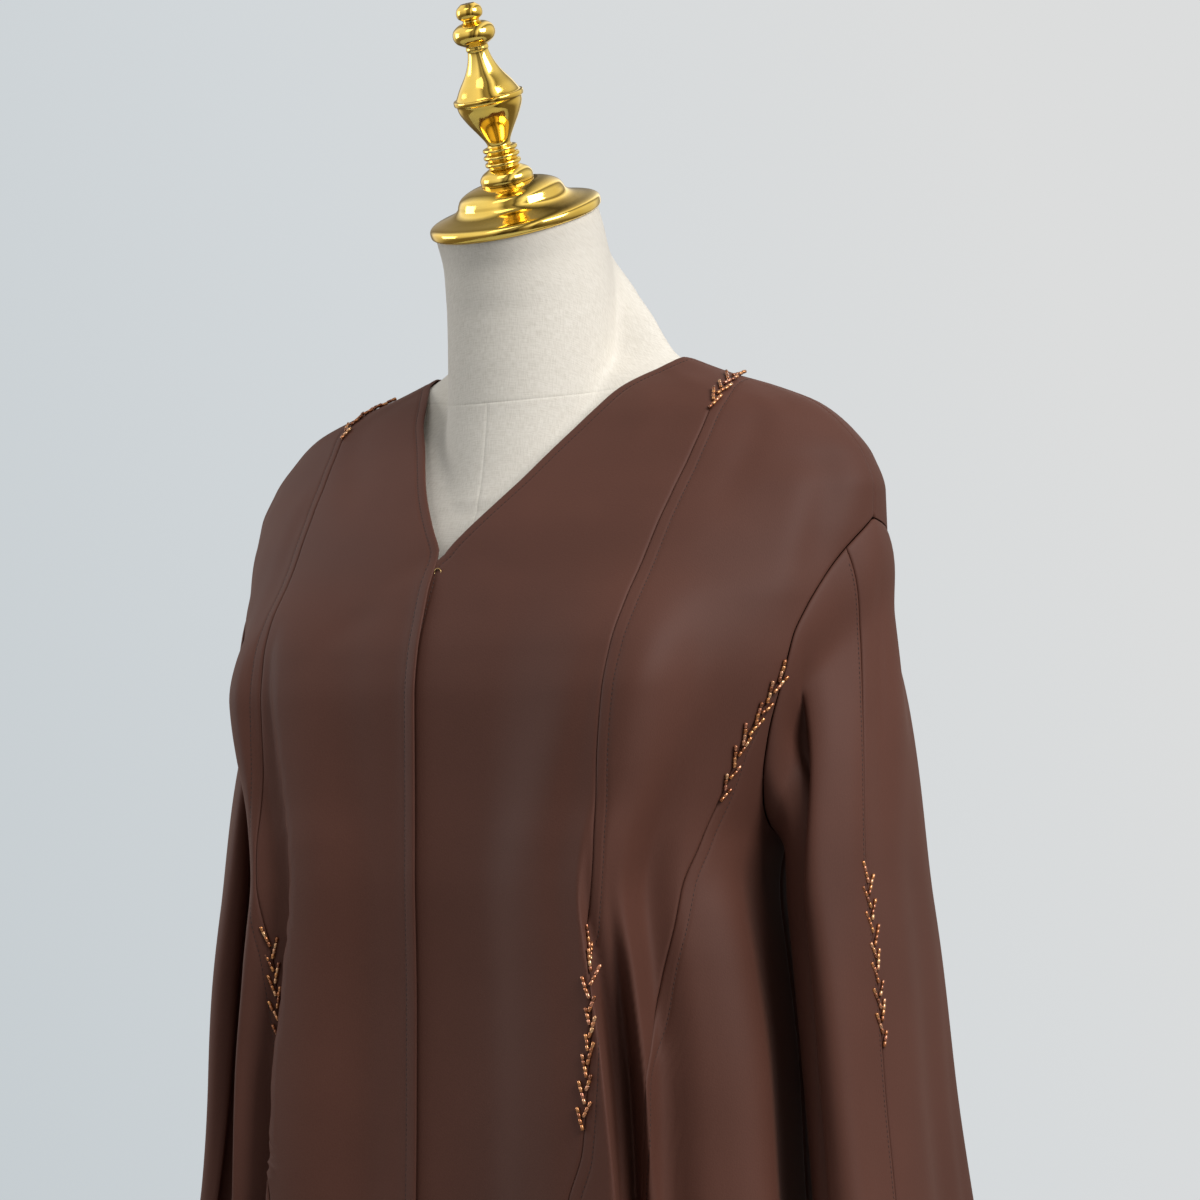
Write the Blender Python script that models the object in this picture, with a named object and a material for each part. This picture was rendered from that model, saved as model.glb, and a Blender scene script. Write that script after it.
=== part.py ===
"""Abaya cloak worn on a limbless dress form with a turned metal finial.

Metres, +Z up, the wearer's front towards -Y and the wearer's left towards +X.
The origin is on the floor under the middle of the stand's base.

The body of the cloak is one surface, a stack of rounded level sections with
flutes laid over it, and each cut piece is a patch of that surface between its
seams.  The sleeves start on the armhole that lies on the same surface.
"""
import math

import bmesh
import bpy
import numpy as np

# Cloth
WALL = 0.0016             # crepe with its turned and pressed allowances
SEAM_GAP = 0.0003         # between neighbouring pieces
HEM_HEIGHT = 0.035
CHEST_SPAN = 1.1          # from the hem to the chest, where a flute's lean is whole
NECK_HEIGHT = 1.4375      # where the shoulder seam meets the neck
NECK_RISE = 0.009         # the back neck is higher by this in its middle
SHOULDER_SEAM_MID = 1.4210  # where the princess seam meets the shoulder seam
NECK_POINT = 1.302        # bottom of the neck's V
SEAM_ROWS = 20            # rows of a front below the point of the neck

# Columns of cells across each piece
CENTER_COLUMNS = 7
SIDE_COLUMNS = 5
PANEL_COLUMNS = 5
BACK_COLUMNS = 20
SLEEVE_ROWS = 13

# Stand
FORM_SEGMENTS = 28
TURNED_SEGMENTS = 24
CLEARANCE = 0.0003
NECK_LEAN = math.radians(22)
NECK_TOP = (0.0, -0.0275, 1.5360)
POLE_RADIUS = 0.0125
POLE_BOTTOM = 0.0305
FORM_BOTTOM = 0.705

HOOK_PLACE = (-0.0048, -0.1290, 1.2850)
HOOK_RADIUS = 0.0026
HOOK_WIRE = 0.00045

# Level sections of the cloak: reach to the side, front and back, the side
# line's own place along Y, and how square the front and back corners are
BODY_COLUMNS = ("height", "side", "front", "back", "side_y", "front_power", "back_power")
BODY_ROWS = (
    (0.0350, 0.340, 0.262, 0.275, 0.000, 2.3, 2.2),
    (0.3000, 0.300, 0.222, 0.235, 0.000, 2.4, 2.2),
    (0.5500, 0.254, 0.192, 0.190, 0.000, 2.6, 2.2),
    (0.7500, 0.211, 0.174, 0.154, 0.000, 2.9, 2.3),
    (0.8600, 0.198, 0.167, 0.138, 0.000, 3.1, 2.3),
    (0.9500, 0.195, 0.163, 0.128, 0.000, 3.2, 2.3),
    (1.0200, 0.188, 0.161, 0.124, 0.000, 3.2, 2.3),
    (1.0700, 0.182, 0.161, 0.124, 0.003, 3.2, 2.3),
    (1.1000, 0.187, 0.160, 0.126, 0.005, 3.2, 2.3),
    (1.1290, 0.199, 0.159, 0.129, 0.008, 3.0, 2.4),
    (1.1650, 0.214, 0.158, 0.133, 0.011, 2.9, 2.5),
    (1.2000, 0.229, 0.157, 0.136, 0.014, 2.7, 2.5),
    (1.2300, 0.239, 0.152, 0.137, 0.016, 2.5, 2.5),
    (1.2600, 0.243, 0.141, 0.137, 0.017, 2.4, 2.5),
    (1.2850, 0.2455, 0.130, 0.136, 0.018, 2.15, 2.5),
    (1.3120, 0.2455, 0.118, 0.134, 0.018, 1.90, 2.4),
    (1.3360, 0.2416, 0.102, 0.130, 0.019, 1.75, 2.3),
    (1.3600, 0.2340, 0.084, 0.125, 0.021, 1.65, 2.2),
    (1.3795, 0.222, 0.067, 0.119, 0.023, 1.70, 2.2),
    (1.3975, 0.2037, 0.0510, 0.113, 0.024, 1.80, 2.1),
    (1.4120, 0.1730, 0.0370, 0.107, 0.026, 1.80, 2.0),
    (1.4240, 0.1370, 0.0215, 0.101, 0.026, 1.80, 2.0),
    (1.4375, 0.1030, 0.0000, 0.094, 0.026, 1.80, 2.0),
)

# Flutes of the skirt. Columns: middle of each at the hem in degrees from the
# front (the wearer's left is positive), lean (how much that differs at the
# chest), height where it starts, how far it stands out at the hem (inwards is
# negative), half its breadth in degrees, and growth (under 1 is early)
FLUTES = (
    (14.0, 0.0, 0.86, 0.012, 10.0, 1.0),
    (33.0, 0.0, 1.31, 0.015, 20.0, 0.10),
    (41.0, -2.0, 1.28, 0.019, 9.0, 0.15),
    (49.0, -3.0, 1.16, -0.034, 8.0, 0.45),
    (67.0, -3.0, 1.13, 0.044, 15.0, 0.50),
    (85.0, 0.0, 0.80, -0.024, 10.0, 1.0),
    (102.0, 0.0, 0.76, 0.036, 11.0, 1.0),
    (121.0, 0.0, 1.04, -0.028, 10.0, 0.9),
    (138.0, 0.0, 1.12, 0.040, 11.0, 0.9),
    (158.0, 0.0, 1.14, -0.024, 10.0, 0.9),
    (176.0, 0.0, 1.08, 0.034, 11.0, 1.0),
    (-12.0, 0.0, 0.80, 0.012, 10.0, 1.1),
    (-33.0, 0.0, 1.31, 0.015, 20.0, 0.10),
    (-40.5, 2.0, 1.28, 0.019, 9.0, 0.15),
    (-49.0, 3.0, 1.18, -0.034, 8.0, 0.45),
    (-66.0, 3.0, 1.13, 0.048, 14.0, 0.50),
    (-87.0, 0.0, 0.80, -0.024, 10.0, 1.0),
    (-106.0, 0.0, 0.78, 0.038, 12.0, 1.0),
    (-127.0, 0.0, 1.08, -0.026, 10.0, 0.9),
    (-146.0, 0.0, 1.10, 0.036, 11.0, 0.9),
    (-164.0, 0.0, 1.12, -0.022, 9.0, 0.9),
)

# Front edges, from the hem up: the middle of the slit between them in X and its
# width, then the neck's edge of each front
EDGE_COLUMNS = ("height", "middle", "gap")
EDGE_ROWS = (
    (0.0350, -0.0080, 0.0003),
    (0.8600, -0.0070, 0.0003),
    (1.1800, -0.0060, 0.0003),
    (1.2250, -0.0058, 0.0006),
    (1.2450, -0.0056, 0.0026),
    (1.2650, -0.0053, 0.0054),
    (1.2850, -0.0048, 0.0068),
    (1.3020, -0.0043, 0.0080),
)
NECK_COLUMNS = ("height", "left", "right")
NECK_ROWS = (
    (1.3020, -0.0003, -0.0083),
    (1.3095, 0.0068, -0.0130),
    (1.3402, 0.0325, -0.0345),
    (1.3480, 0.0385, -0.0395),
    (1.3748, 0.0558, -0.0558),
    (1.3975, 0.0708, -0.0708),
    (1.4132, 0.0801, -0.0801),
    (1.4215, 0.0880, -0.0880),
    (1.4290, 0.0965, -0.0965),
    (1.4375, 0.1030, -0.1030),
)
NECK_LEVELS = (1.4375, 1.4325, 1.4240, 1.4080, 1.3800, 1.3430, 1.3020)

# Seams of the fronts: the princess seam's reach in X at each height, and the
# curved seam's angle, which lies at the bottom of the deep flute lower down
PRINCESS_COLUMNS = ("height", "x")
PRINCESS_ROWS = (
    (0.0350, 0.145),
    (0.5000, 0.120),
    (0.7500, 0.111),
    (0.8600, 0.1110),
    (0.9050, 0.1185),
    (0.9800, 0.1210),
    (1.0500, 0.1220),
    (1.1000, 0.1260),
    (1.1650, 0.1310),
    (1.2350, 0.1370),
    (1.2610, 0.1405),
    (1.3120, 0.1456),
    (1.3560, 0.1497),
    (1.3995, 0.1520),
    (1.4210, 0.1470),
)
PRINCESS_LEVELS = (1.4210, 1.4165, 1.4060, 1.3800, 1.3450, 1.3080, 1.2700)
CURVED_COLUMNS = ("height", "angle")
CURVED_ROWS = (
    (0.0350, 46.0),
    (0.5500, 44.5),
    (0.8600, 43.0),
    (0.9366, 43.2),
    (0.9710, 45.6),
    (1.0158, 49.3),
    (1.0467, 52.3),
    (1.0742, 54.6),
    (1.1014, 57.6),
    (1.1286, 59.3),
    (1.1700, 60.5),
)

# Armhole round the arm: 0 is the top, 90 the front, 180 the underarm
ARMHOLE_COLUMNS = ("turn", "height", "y")
ARMHOLE_ROWS = (
    (0.0, 1.3160, 0.0180),
    (15.0, 1.3060, 0.0040),
    (30.0, 1.2943, -0.0100),
    (45.0, 1.2764, -0.0270),
    (60.0, 1.2548, -0.0440),
    (78.0, 1.2330, -0.0560),
    (95.0, 1.2130, -0.0600),
    (115.0, 1.1850, -0.0620),
    (135.0, 1.1560, -0.0580),
    (158.0, 1.1250, -0.0440),
    (170.0, 1.1080, -0.0220),
    (180.0, 1.1000, 0.0050),
    (202.0, 1.1250, 0.0460),
    (225.0, 1.1600, 0.0680),
    (250.0, 1.2000, 0.0820),
    (275.0, 1.2350, 0.0860),
    (300.0, 1.2680, 0.0800),
    (325.0, 1.2960, 0.0620),
    (345.0, 1.3110, 0.0400),
    (360.0, 1.3160, 0.0180),
)
FRONT_TURNS = (0, 15, 30, 45, 60, 78, 95)       # rows of front_side on the armhole
PANEL_TURNS = (95, 105, 115, 125, 135, 145)      # top edge of side_panel
UNDER_TURNS = (145, 158, 169, 180)               # its rows on the armhole
BACK_TURNS = (180, 202, 225, 250, 275, 300, 325, 345, 360)
SLEEVE_SEAM_TURN = 30

# Level sections of a hanging sleeve: its middle, and half its breadth and depth
SLEEVE_COLUMNS = ("height", "x", "y", "half_x", "half_y")
SLEEVE_SECTIONS = (
    (0.7900, 0.2530, 0.020, 0.0380, 0.0980),
    (0.8570, 0.2465, 0.020, 0.0370, 0.0910),
    (0.9220, 0.2405, 0.020, 0.0370, 0.0890),
    (1.0030, 0.2345, 0.020, 0.0380, 0.0890),
    (1.0840, 0.2270, 0.019, 0.0370, 0.0860),
    (1.1280, 0.2210, 0.018, 0.0360, 0.0820),
)
SLEEVE_TOP = 1.055        # first level section under the sleeve's head
CUFF_HEIGHT = 0.790
HEAD_ROWS = 5             # rows of cells between the armhole and that section

# Folds of a sleeve. Columns: turn round the arm, height where it starts, depth
# at the cuff (inwards is negative), half its breadth in degrees
SLEEVE_FOLDS = (
    (345.0, 1.28, -0.007, 22.0),
    (60.0, 1.10, 0.008, 24.0),
    (112.0, 1.05, -0.009, 22.0),
    (195.0, 1.02, -0.006, 30.0),
    (255.0, 1.12, -0.010, 26.0),
    (300.0, 1.10, 0.009, 24.0),
)

# Sections of the dress form's torso and shoulders, and of its neck, which
# leans forwards; the two run into each other
TORSO_COLUMNS = ("height", "side", "y", "depth", "power")
TORSO_ROWS = (
    (0.7050, 0.148, 0.008, 0.098, 2.3),
    (0.7120, 0.156, 0.008, 0.106, 2.3),
    (0.7400, 0.162, 0.008, 0.111, 2.3),
    (0.8300, 0.164, 0.009, 0.114, 2.3),
    (0.9300, 0.146, 0.004, 0.104, 2.3),
    (1.0300, 0.118, -0.004, 0.086, 2.2),
    (1.1100, 0.132, -0.016, 0.102, 2.2),
    (1.1900, 0.150, -0.022, 0.120, 2.2),
    (1.2500, 0.165, -0.014, 0.112, 2.2),
    (1.3000, 0.180, 0.000, 0.102, 2.2),
    (1.3420, 0.189, 0.010, 0.088, 2.1),
    (1.3735, 0.190, 0.016, 0.072, 2.0),
    (1.3955, 0.182, 0.021, 0.058, 1.9),
    (1.4107, 0.162, 0.023, 0.050, 1.8),
    (1.4227, 0.130, 0.024, 0.045, 1.7),
    (1.4320, 0.1045, 0.026, 0.040, 1.7),
    (1.4400, 0.092, 0.028, 0.036, 1.7),
    (1.4480, 0.0850, 0.029, 0.034, 1.7),
    (1.4630, 0.074, 0.030, 0.033, 1.7),
    (1.4770, 0.062, 0.030, 0.030, 1.8),
    (1.4970, 0.048, 0.020, 0.030, 2.0),
    (1.5360, 0.030, -0.020, 0.030, 2.0),
)
FORM_NECK_COLUMNS = ("height", "side", "depth", "y", "lean")
FORM_NECK_ROWS = (
    (1.3300, 0.045, 0.050, -0.032, 0.0),
    (1.3700, 0.055, 0.055, -0.020, 0.0),
    (1.4070, 0.0600, 0.0600, -0.0100, 0.0),
    (1.4300, 0.0600, 0.0605, -0.0090, 2.0),
    (1.4480, 0.0600, 0.0605, -0.0090, 6.0),
    (1.4770, 0.0595, 0.0600, -0.0105, 12.0),
    (1.4970, 0.0585, 0.0595, -0.0140, 17.0),
    (1.5170, 0.0575, 0.0590, -0.0185, 20.0),
    (1.5360, 0.0575, 0.0585, -0.0275, 22.0),
)
FORM_LEVELS = (0.705, 0.712, 0.74, 0.79, 0.86, 0.93, 0.98, 1.03, 1.08, 1.13, 1.18, 1.22, 1.26,
               1.30, 1.33, 1.357, 1.378, 1.3955, 1.4107, 1.4227, 1.432, 1.44, 1.45, 1.463, 1.477,
               1.497, 1.517, 1.536)
JOIN_SOFTNESS = 0.006     # how softly the neck runs into the shoulders

# Turned profiles, along the axis and away from it
CAP_PROFILE = (
    (0.0, 0.0595), (0.0015, 0.0610), (0.0050, 0.0612), (0.0070, 0.0600), (0.0085, 0.0570),
    (0.0105, 0.0500), (0.0130, 0.0430), (0.0160, 0.0390), (0.0195, 0.0375), (0.0230, 0.0350),
    (0.0262, 0.0290), (0.0285, 0.0205),
)
FINIAL_PROFILE = (
    (0.0000, 0.0185), (0.0040, 0.0187), (0.0075, 0.0165), (0.0100, 0.0125), (0.0115, 0.0105),
    (0.0130, 0.0125), (0.0150, 0.0125), (0.0165, 0.0103), (0.0180, 0.0125), (0.0200, 0.0125),
    (0.0215, 0.0100), (0.0230, 0.0120), (0.0250, 0.0120), (0.0265, 0.0085), (0.0300, 0.0090),
    (0.0360, 0.0125), (0.0450, 0.0182), (0.0530, 0.0222), (0.0580, 0.0232), (0.0590, 0.0246),
    (0.0620, 0.0246), (0.0630, 0.0226), (0.0700, 0.0185), (0.0780, 0.0130), (0.0860, 0.0092),
    (0.0930, 0.0074), (0.0950, 0.0080), (0.0975, 0.0078), (0.0985, 0.0095), (0.1010, 0.0132),
    (0.1050, 0.0150), (0.1095, 0.0140), (0.1125, 0.0105), (0.1140, 0.0065), (0.1155, 0.0060),
    (0.1175, 0.0085), (0.1205, 0.0093), (0.1240, 0.0083), (0.1268, 0.0050),
)
BASE_PROFILE = (
    (0.0, 0.1685), (0.0015, 0.1700), (0.0070, 0.1700), (0.0095, 0.1680), (0.0120, 0.1560),
    (0.0160, 0.1200), (0.0200, 0.0800), (0.0230, 0.0480), (0.0255, 0.0300), (0.0302, 0.0240),
)


class Profile:
    """Smooth curves through a table whose first column runs along the curve."""

    def __init__(self, columns, rows):
        data = np.array(sorted(rows), dtype=float)
        self.along = data[:, 0]
        self.values = {name: data[:, i] for i, name in enumerate(columns)}
        self.slopes = {name: self.gentle_slopes(data[:, i]) for i, name in enumerate(columns)}

    def gentle_slopes(self, values):
        """Slopes that never carry the curve past the table's own values."""
        steps = np.diff(self.along)
        rise = np.diff(values) / steps
        slopes = np.empty_like(values)
        slopes[0], slopes[-1] = rise[0], rise[-1]
        same = rise[:-1] * rise[1:] > 0
        safe = np.where(same, rise[:-1] + rise[1:], 1.0)
        slopes[1:-1] = np.where(same, 2 * rise[:-1] * rise[1:] / safe, 0.0)
        return slopes

    def at(self, name, place):
        place = np.clip(np.asarray(place, dtype=float), self.along[0], self.along[-1])
        row = np.clip(np.searchsorted(self.along, place) - 1, 0, len(self.along) - 2)
        step = self.along[row + 1] - self.along[row]
        t = (place - self.along[row]) / step
        start, end = self.values[name][row], self.values[name][row + 1]
        leave, arrive = self.slopes[name][row] * step, self.slopes[name][row + 1] * step
        return (start * (2 * t ** 3 - 3 * t ** 2 + 1) + leave * (t ** 3 - 2 * t ** 2 + t)
                + end * (3 * t ** 2 - 2 * t ** 3) + arrive * (t ** 3 - t ** 2))


BODY = Profile(BODY_COLUMNS, BODY_ROWS)
EDGE = Profile(EDGE_COLUMNS, EDGE_ROWS)
NECK = Profile(NECK_COLUMNS, NECK_ROWS)
PRINCESS = Profile(PRINCESS_COLUMNS, PRINCESS_ROWS)
CURVED = Profile(CURVED_COLUMNS, CURVED_ROWS)
ARMHOLE = Profile(ARMHOLE_COLUMNS, ARMHOLE_ROWS)
SLEEVE = Profile(SLEEVE_COLUMNS, SLEEVE_SECTIONS)
TORSO = Profile(TORSO_COLUMNS, TORSO_ROWS)
FORM_NECK = Profile(FORM_NECK_COLUMNS, FORM_NECK_ROWS)


def bump(distance, breadth):
    """A rounded bump, 1 in its middle and 0 from its breadth on."""
    t = np.clip(np.abs(distance) / breadth, 0, 1)
    return 0.5 + 0.5 * np.cos(np.pi * t)


def turn_between(a, b):
    return (a - b + 180) % 360 - 180


def body_points(angle, height):
    """The cloak's outer face; 0 degrees is the front and 90 the wearer's left."""
    angle, height = np.broadcast_arrays(np.asarray(angle, float), np.asarray(height, float))
    a = np.radians(angle)
    sine, cosine = np.sin(a), np.cos(a)
    is_front = cosine >= 0
    power = np.where(is_front, BODY.at("front_power", height), BODY.at("back_power", height))
    side, side_y = BODY.at("side", height), BODY.at("side_y", height)
    depth = np.where(is_front, BODY.at("front", height) + side_y, BODY.at("back", height) - side_y)
    k = (np.abs(sine) ** power + np.abs(cosine) ** power) ** (-1 / power)
    x, y = side * sine * k, -depth * cosine * k
    out_x = np.sign(x) * np.abs(x / side) ** (power - 1) / side
    out_y = np.sign(y) * np.abs(y / depth) ** (power - 1) / depth
    length = np.hypot(out_x, out_y)
    out = flutes(angle, height)
    x = x + out * out_x / length
    y = y + out * out_y / length + side_y
    rise = NECK_RISE * np.clip(-cosine, 0, 1) ** 2 * np.clip((height - 1.36) / 0.0775, 0, 1) ** 2
    return np.stack([x, y, height + rise], axis=-1)


def flutes(angle, height):
    out = np.zeros_like(angle)
    for hem_angle, lean, top, depth, breadth, growth in FLUTES:
        middle = hem_angle + lean * (height - HEM_HEIGHT) / CHEST_SPAN
        grown = np.clip((top - height) / (top - HEM_HEIGHT), 0, 1) ** growth
        ease = np.clip((top - height) / 0.08, 0, 1)
        ease = ease * ease * (3 - 2 * ease)
        out = out + depth * grown * ease * bump(turn_between(angle, middle), breadth)
    return out


def front_angle(x, height):
    """The angle whose point on the front of the section has this X."""
    power, side = BODY.at("front_power", height), BODY.at("side", height)
    share = np.clip(np.abs(x) / side, 0, 1)
    rest = np.clip(1 - share ** power, 0, 1) ** (1 / power)
    return np.sign(x) * np.degrees(np.arctan2(share, rest))


def armhole_domain(turn):
    """Angle and height on the body of a point on the wearer's left armhole."""
    turn = np.asarray(turn, float)
    height, y = ARMHOLE.at("height", turn), ARMHOLE.at("y", turn)
    side_y = BODY.at("side_y", height)
    front = turn <= 180
    power = np.where(front, BODY.at("front_power", height), BODY.at("back_power", height))
    depth = np.where(front, BODY.at("front", height) + side_y, BODY.at("back", height) - side_y)
    ends = (turn <= 0) | (turn >= 360) | (turn == 180)
    share = np.clip(np.where(front, side_y - y, y - side_y) / depth, 0, 1)
    rest = (1 - share ** power) ** (1 / power)
    angle = np.degrees(np.arctan2(rest, share))
    angle = np.where(front, angle, 180 - angle)
    return np.stack([np.where(ends, 90.0, angle), height], axis=-1)


def surface_normals(surface, first, second):
    """Outward normals of a surface given by two arrays of its own coordinates."""
    step_first, step_second = 0.05, 0.0002
    across = surface(first + step_first, second) - surface(first - step_first, second)
    along = surface(first, second + step_second) - surface(first, second - step_second)
    normal = np.cross(across, along)
    return normal / np.linalg.norm(normal, axis=-1, keepdims=True)


def coons_patch(top, bottom, left, right):
    """A grid of domain points between four edges; rows run from top to bottom."""
    rows, columns = len(left), len(top)
    v = np.linspace(0, 1, rows)[:, None, None]
    u = np.linspace(0, 1, columns)[None, :, None]
    corners = ((1 - v) * ((1 - u) * left[0] + u * right[0])
               + v * ((1 - u) * left[-1] + u * right[-1]))
    return ((1 - u) * left[:, None] + u * right[:, None]
            + (1 - v) * top[None] + v * bottom[None] - corners)


def level_edge(start, end, columns):
    t = np.linspace(0, 1, columns + 1)[:, None]
    return (1 - t) * np.asarray(start) + t * np.asarray(end)


def trim(domain, surface, open_sides):
    """Moves each seamed edge back by half the seam gap, along the surface."""
    domain = domain.copy()
    moves = {"top": (0, 1, 0), "bottom": (-1, -2, 0), "left": (0, 1, 1), "right": (-1, -2, 1)}
    for side, (edge, inner, axis) in moves.items():
        if side in open_sides:
            continue
        line = domain[edge] if axis == 0 else domain[:, edge]
        inside = domain[inner] if axis == 0 else domain[:, inner]
        width = np.linalg.norm(surface(line[:, 0], line[:, 1])
                               - surface(inside[:, 0], inside[:, 1]), axis=-1)
        share = (SEAM_GAP * 0.6 / np.maximum(width, SEAM_GAP))[:, None]
        moved = line + share * (inside - line)
        if axis == 0:
            domain[edge] = moved
        else:
            domain[:, edge] = moved
    return domain


def material(name, color, roughness, metallic=0.0):
    made = bpy.data.materials.new(name)
    made.use_nodes = True
    shader = made.node_tree.nodes["Principled BSDF"]
    shader.inputs["Base Color"].default_value = (*color, 1)
    shader.inputs["Roughness"].default_value = roughness
    shader.inputs["Metallic"].default_value = metallic
    return made


CREPE = ((0.092, 0.041, 0.027), 0.62)
LINEN = ((0.74, 0.70, 0.63), 0.85)
GOLD = ((0.83, 0.55, 0.14), 0.16, 1.0)
STEEL = ((0.45, 0.43, 0.41), 0.35, 1.0)


def add_object(name, mesh, finish):
    thing = bpy.data.objects.new(name, mesh)
    bpy.context.scene.collection.objects.link(thing)
    mesh.materials.append(material(name + "_finish", *finish))
    mesh.shade_smooth()
    mesh.set_sharp_from_angle(angle=math.radians(40))
    return thing


def add_wall(name, outer, inner):
    """A cloth wall between two grids of points, closed round all four edges."""
    rows, columns = outer.shape[:2]
    points = np.concatenate([outer.reshape(-1, 3), inner.reshape(-1, 3)])
    other = rows * columns
    end = other - columns
    faces = []
    for i in range(rows - 1):
        for j in range(columns - 1):
            a = i * columns + j
            b, c, d = a + 1, a + columns + 1, a + columns
            faces.append((a, d, c, b))
            faces.append((a + other, b + other, c + other, d + other))
    for j in range(columns - 1):
        faces.append((j, j + 1, j + 1 + other, j + other))
        faces.append((end + j + 1, end + j, end + j + other, end + j + 1 + other))
    for i in range(rows - 1):
        a, d = i * columns, (i + 1) * columns
        b, c = a + columns - 1, d + columns - 1
        faces.append((d, a, a + other, d + other))
        faces.append((b, c, c + other, b + other))
    mesh = bpy.data.meshes.new(name)
    mesh.from_pydata([tuple(p) for p in points], [], faces)
    tidy_mesh(mesh)
    return add_object(name, mesh, CREPE)


def tidy_mesh(mesh):
    work = bmesh.new()
    work.from_mesh(mesh)
    bmesh.ops.triangulate(work, faces=work.faces[:], quad_method="SHORT_EDGE")
    bmesh.ops.recalc_face_normals(work, faces=work.faces[:])
    if work.calc_volume(signed=True) < 0:
        bmesh.ops.reverse_faces(work, faces=work.faces[:])
    work.to_mesh(mesh)
    work.free()


def mirrored(points):
    return points * np.array([-1.0, 1.0, 1.0])


def add_body_panel(name, domain, open_sides):
    cut = trim(domain, body_points, open_sides)
    outer = body_points(cut[..., 0], cut[..., 1])
    normal = surface_normals(body_points, cut[..., 0], cut[..., 1])
    return add_wall(name, outer, outer - WALL * normal)


def princess_rows():
    """Princess seam of the wearer's left, from the shoulder to the hem."""
    low = PRINCESS_LEVELS[-1]
    below = low + (HEM_HEIGHT - low) * skirt_steps()
    height = np.concatenate([PRINCESS_LEVELS, below[1:]])
    angle = front_angle(PRINCESS.at("x", height), height)
    angle[0] = 90.0
    return np.stack([angle, height], axis=-1)


def skirt_steps():
    """Shares of the way down the skirt, closer together near the bust."""
    t = np.linspace(0, 1, SEAM_ROWS + 1)
    return 0.55 * t + 0.45 * t ** 2


def curved_rows():
    """Curved seam from the armhole to the hem."""
    start = armhole_domain(FRONT_TURNS[-1])
    height = start[1] + (HEM_HEIGHT - start[1]) * skirt_steps()
    blend = np.clip((height - 1.165) / (start[1] - 1.165), 0, 1)
    angle = CURVED.at("angle", height)
    return np.stack([angle + (start[0] - angle) * blend, height], axis=-1)


def side_seam_rows():
    under = armhole_domain(UNDER_TURNS[-1])[1]
    count = SEAM_ROWS - len(UNDER_TURNS) + 1
    t = np.linspace(0, 1, count + 1)
    height = under + (HEM_HEIGHT - under) * (0.6 * t + 0.4 * t ** 2)
    return np.stack([np.full_like(height, 90.0), height], axis=-1)


def edge_rows(side):
    """Neck edge from the shoulder to the point, then the front edge to the hem."""
    column = "left" if side > 0 else "right"
    neck = np.array(NECK_LEVELS)
    below = NECK_POINT + (HEM_HEIGHT - NECK_POINT) * skirt_steps()
    edge = EDGE.at("middle", below[1:]) + side * EDGE.at("gap", below[1:]) / 2
    x = np.concatenate([NECK.at(column, neck), edge])
    height = np.concatenate([neck, below[1:]])
    angle = front_angle(x, height)
    angle[0] = 90.0 * side
    return np.stack([angle, height], axis=-1)


def flip(domain, side):
    return domain * np.array([side, 1.0])


def make_fronts(side, word):
    princess, curved = flip(princess_rows(), side), flip(curved_rows(), side)
    side_seam = flip(side_seam_rows(), side)
    edge = edge_rows(side)
    domain = coons_patch(level_edge(princess[0], edge[0], CENTER_COLUMNS),
                         level_edge(princess[-1], edge[-1], CENTER_COLUMNS), princess, edge)
    add_body_panel("front_center_" + word, domain, ("right", "bottom"))
    armhole = flip(armhole_domain(np.array(FRONT_TURNS)), side)
    outer = np.concatenate([armhole, curved[1:]])
    domain = coons_patch(level_edge(outer[0], princess[0], SIDE_COLUMNS),
                         level_edge(outer[-1], princess[-1], SIDE_COLUMNS), outer, princess)
    add_body_panel("front_side_" + word, domain, ("bottom",))
    top = flip(armhole_domain(np.array(PANEL_TURNS))[::-1], side)
    under = flip(armhole_domain(np.array(UNDER_TURNS)), side)
    outer = np.concatenate([under, side_seam[1:]])
    domain = coons_patch(top, level_edge(outer[-1], curved[-1], PANEL_COLUMNS), outer, curved)
    add_body_panel("side_panel_" + word, domain, ("bottom",))


def make_back():
    """From the hem up to the back neck; its rows are level."""
    below = side_seam_rows()[::-1]
    armhole = armhole_domain(np.array(BACK_TURNS, float))
    shoulder_side = level_edge(armhole[-1], (90, SHOULDER_SEAM_MID), SIDE_COLUMNS)
    shoulder_mid = level_edge((90, SHOULDER_SEAM_MID), (90, NECK_HEIGHT), CENTER_COLUMNS)
    left = np.concatenate([below, armhole[1:], shoulder_side[1:], shoulder_mid[1:]])[::-1]
    right = left.copy()
    right[:, 0] = 360 - right[:, 0]
    domain = coons_patch(level_edge(left[0], right[0], BACK_COLUMNS),
                         level_edge(left[-1], right[-1], BACK_COLUMNS), left, right)
    add_body_panel("back", domain, ("top", "bottom"))


def sleeve_ring(turn, height):
    """A level section of the wearer's left sleeve, with its folds."""
    t = np.radians(turn)
    middle_x, middle_y = SLEEVE.at("x", height), SLEEVE.at("y", height)
    half_x, half_y = SLEEVE.at("half_x", height), SLEEVE.at("half_y", height)
    out = np.zeros_like(t + height)
    for place, top, depth, breadth in SLEEVE_FOLDS:
        grown = np.clip((top - height) / (top - CUFF_HEIGHT), 0, 1)
        out = out + depth * grown * bump(turn_between(turn, place), breadth)
    out_x, out_y = np.cos(t) / half_x, -np.sin(t) / half_y
    length = np.hypot(out_x, out_y)
    return np.stack([middle_x + half_x * np.cos(t) + out * out_x / length,
                     middle_y - half_y * np.sin(t) + out * out_y / length,
                     height + 0 * t], axis=-1)


def armhole_points(turn):
    domain = armhole_domain(turn)
    return body_points(domain[..., 0], domain[..., 1])


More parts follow.
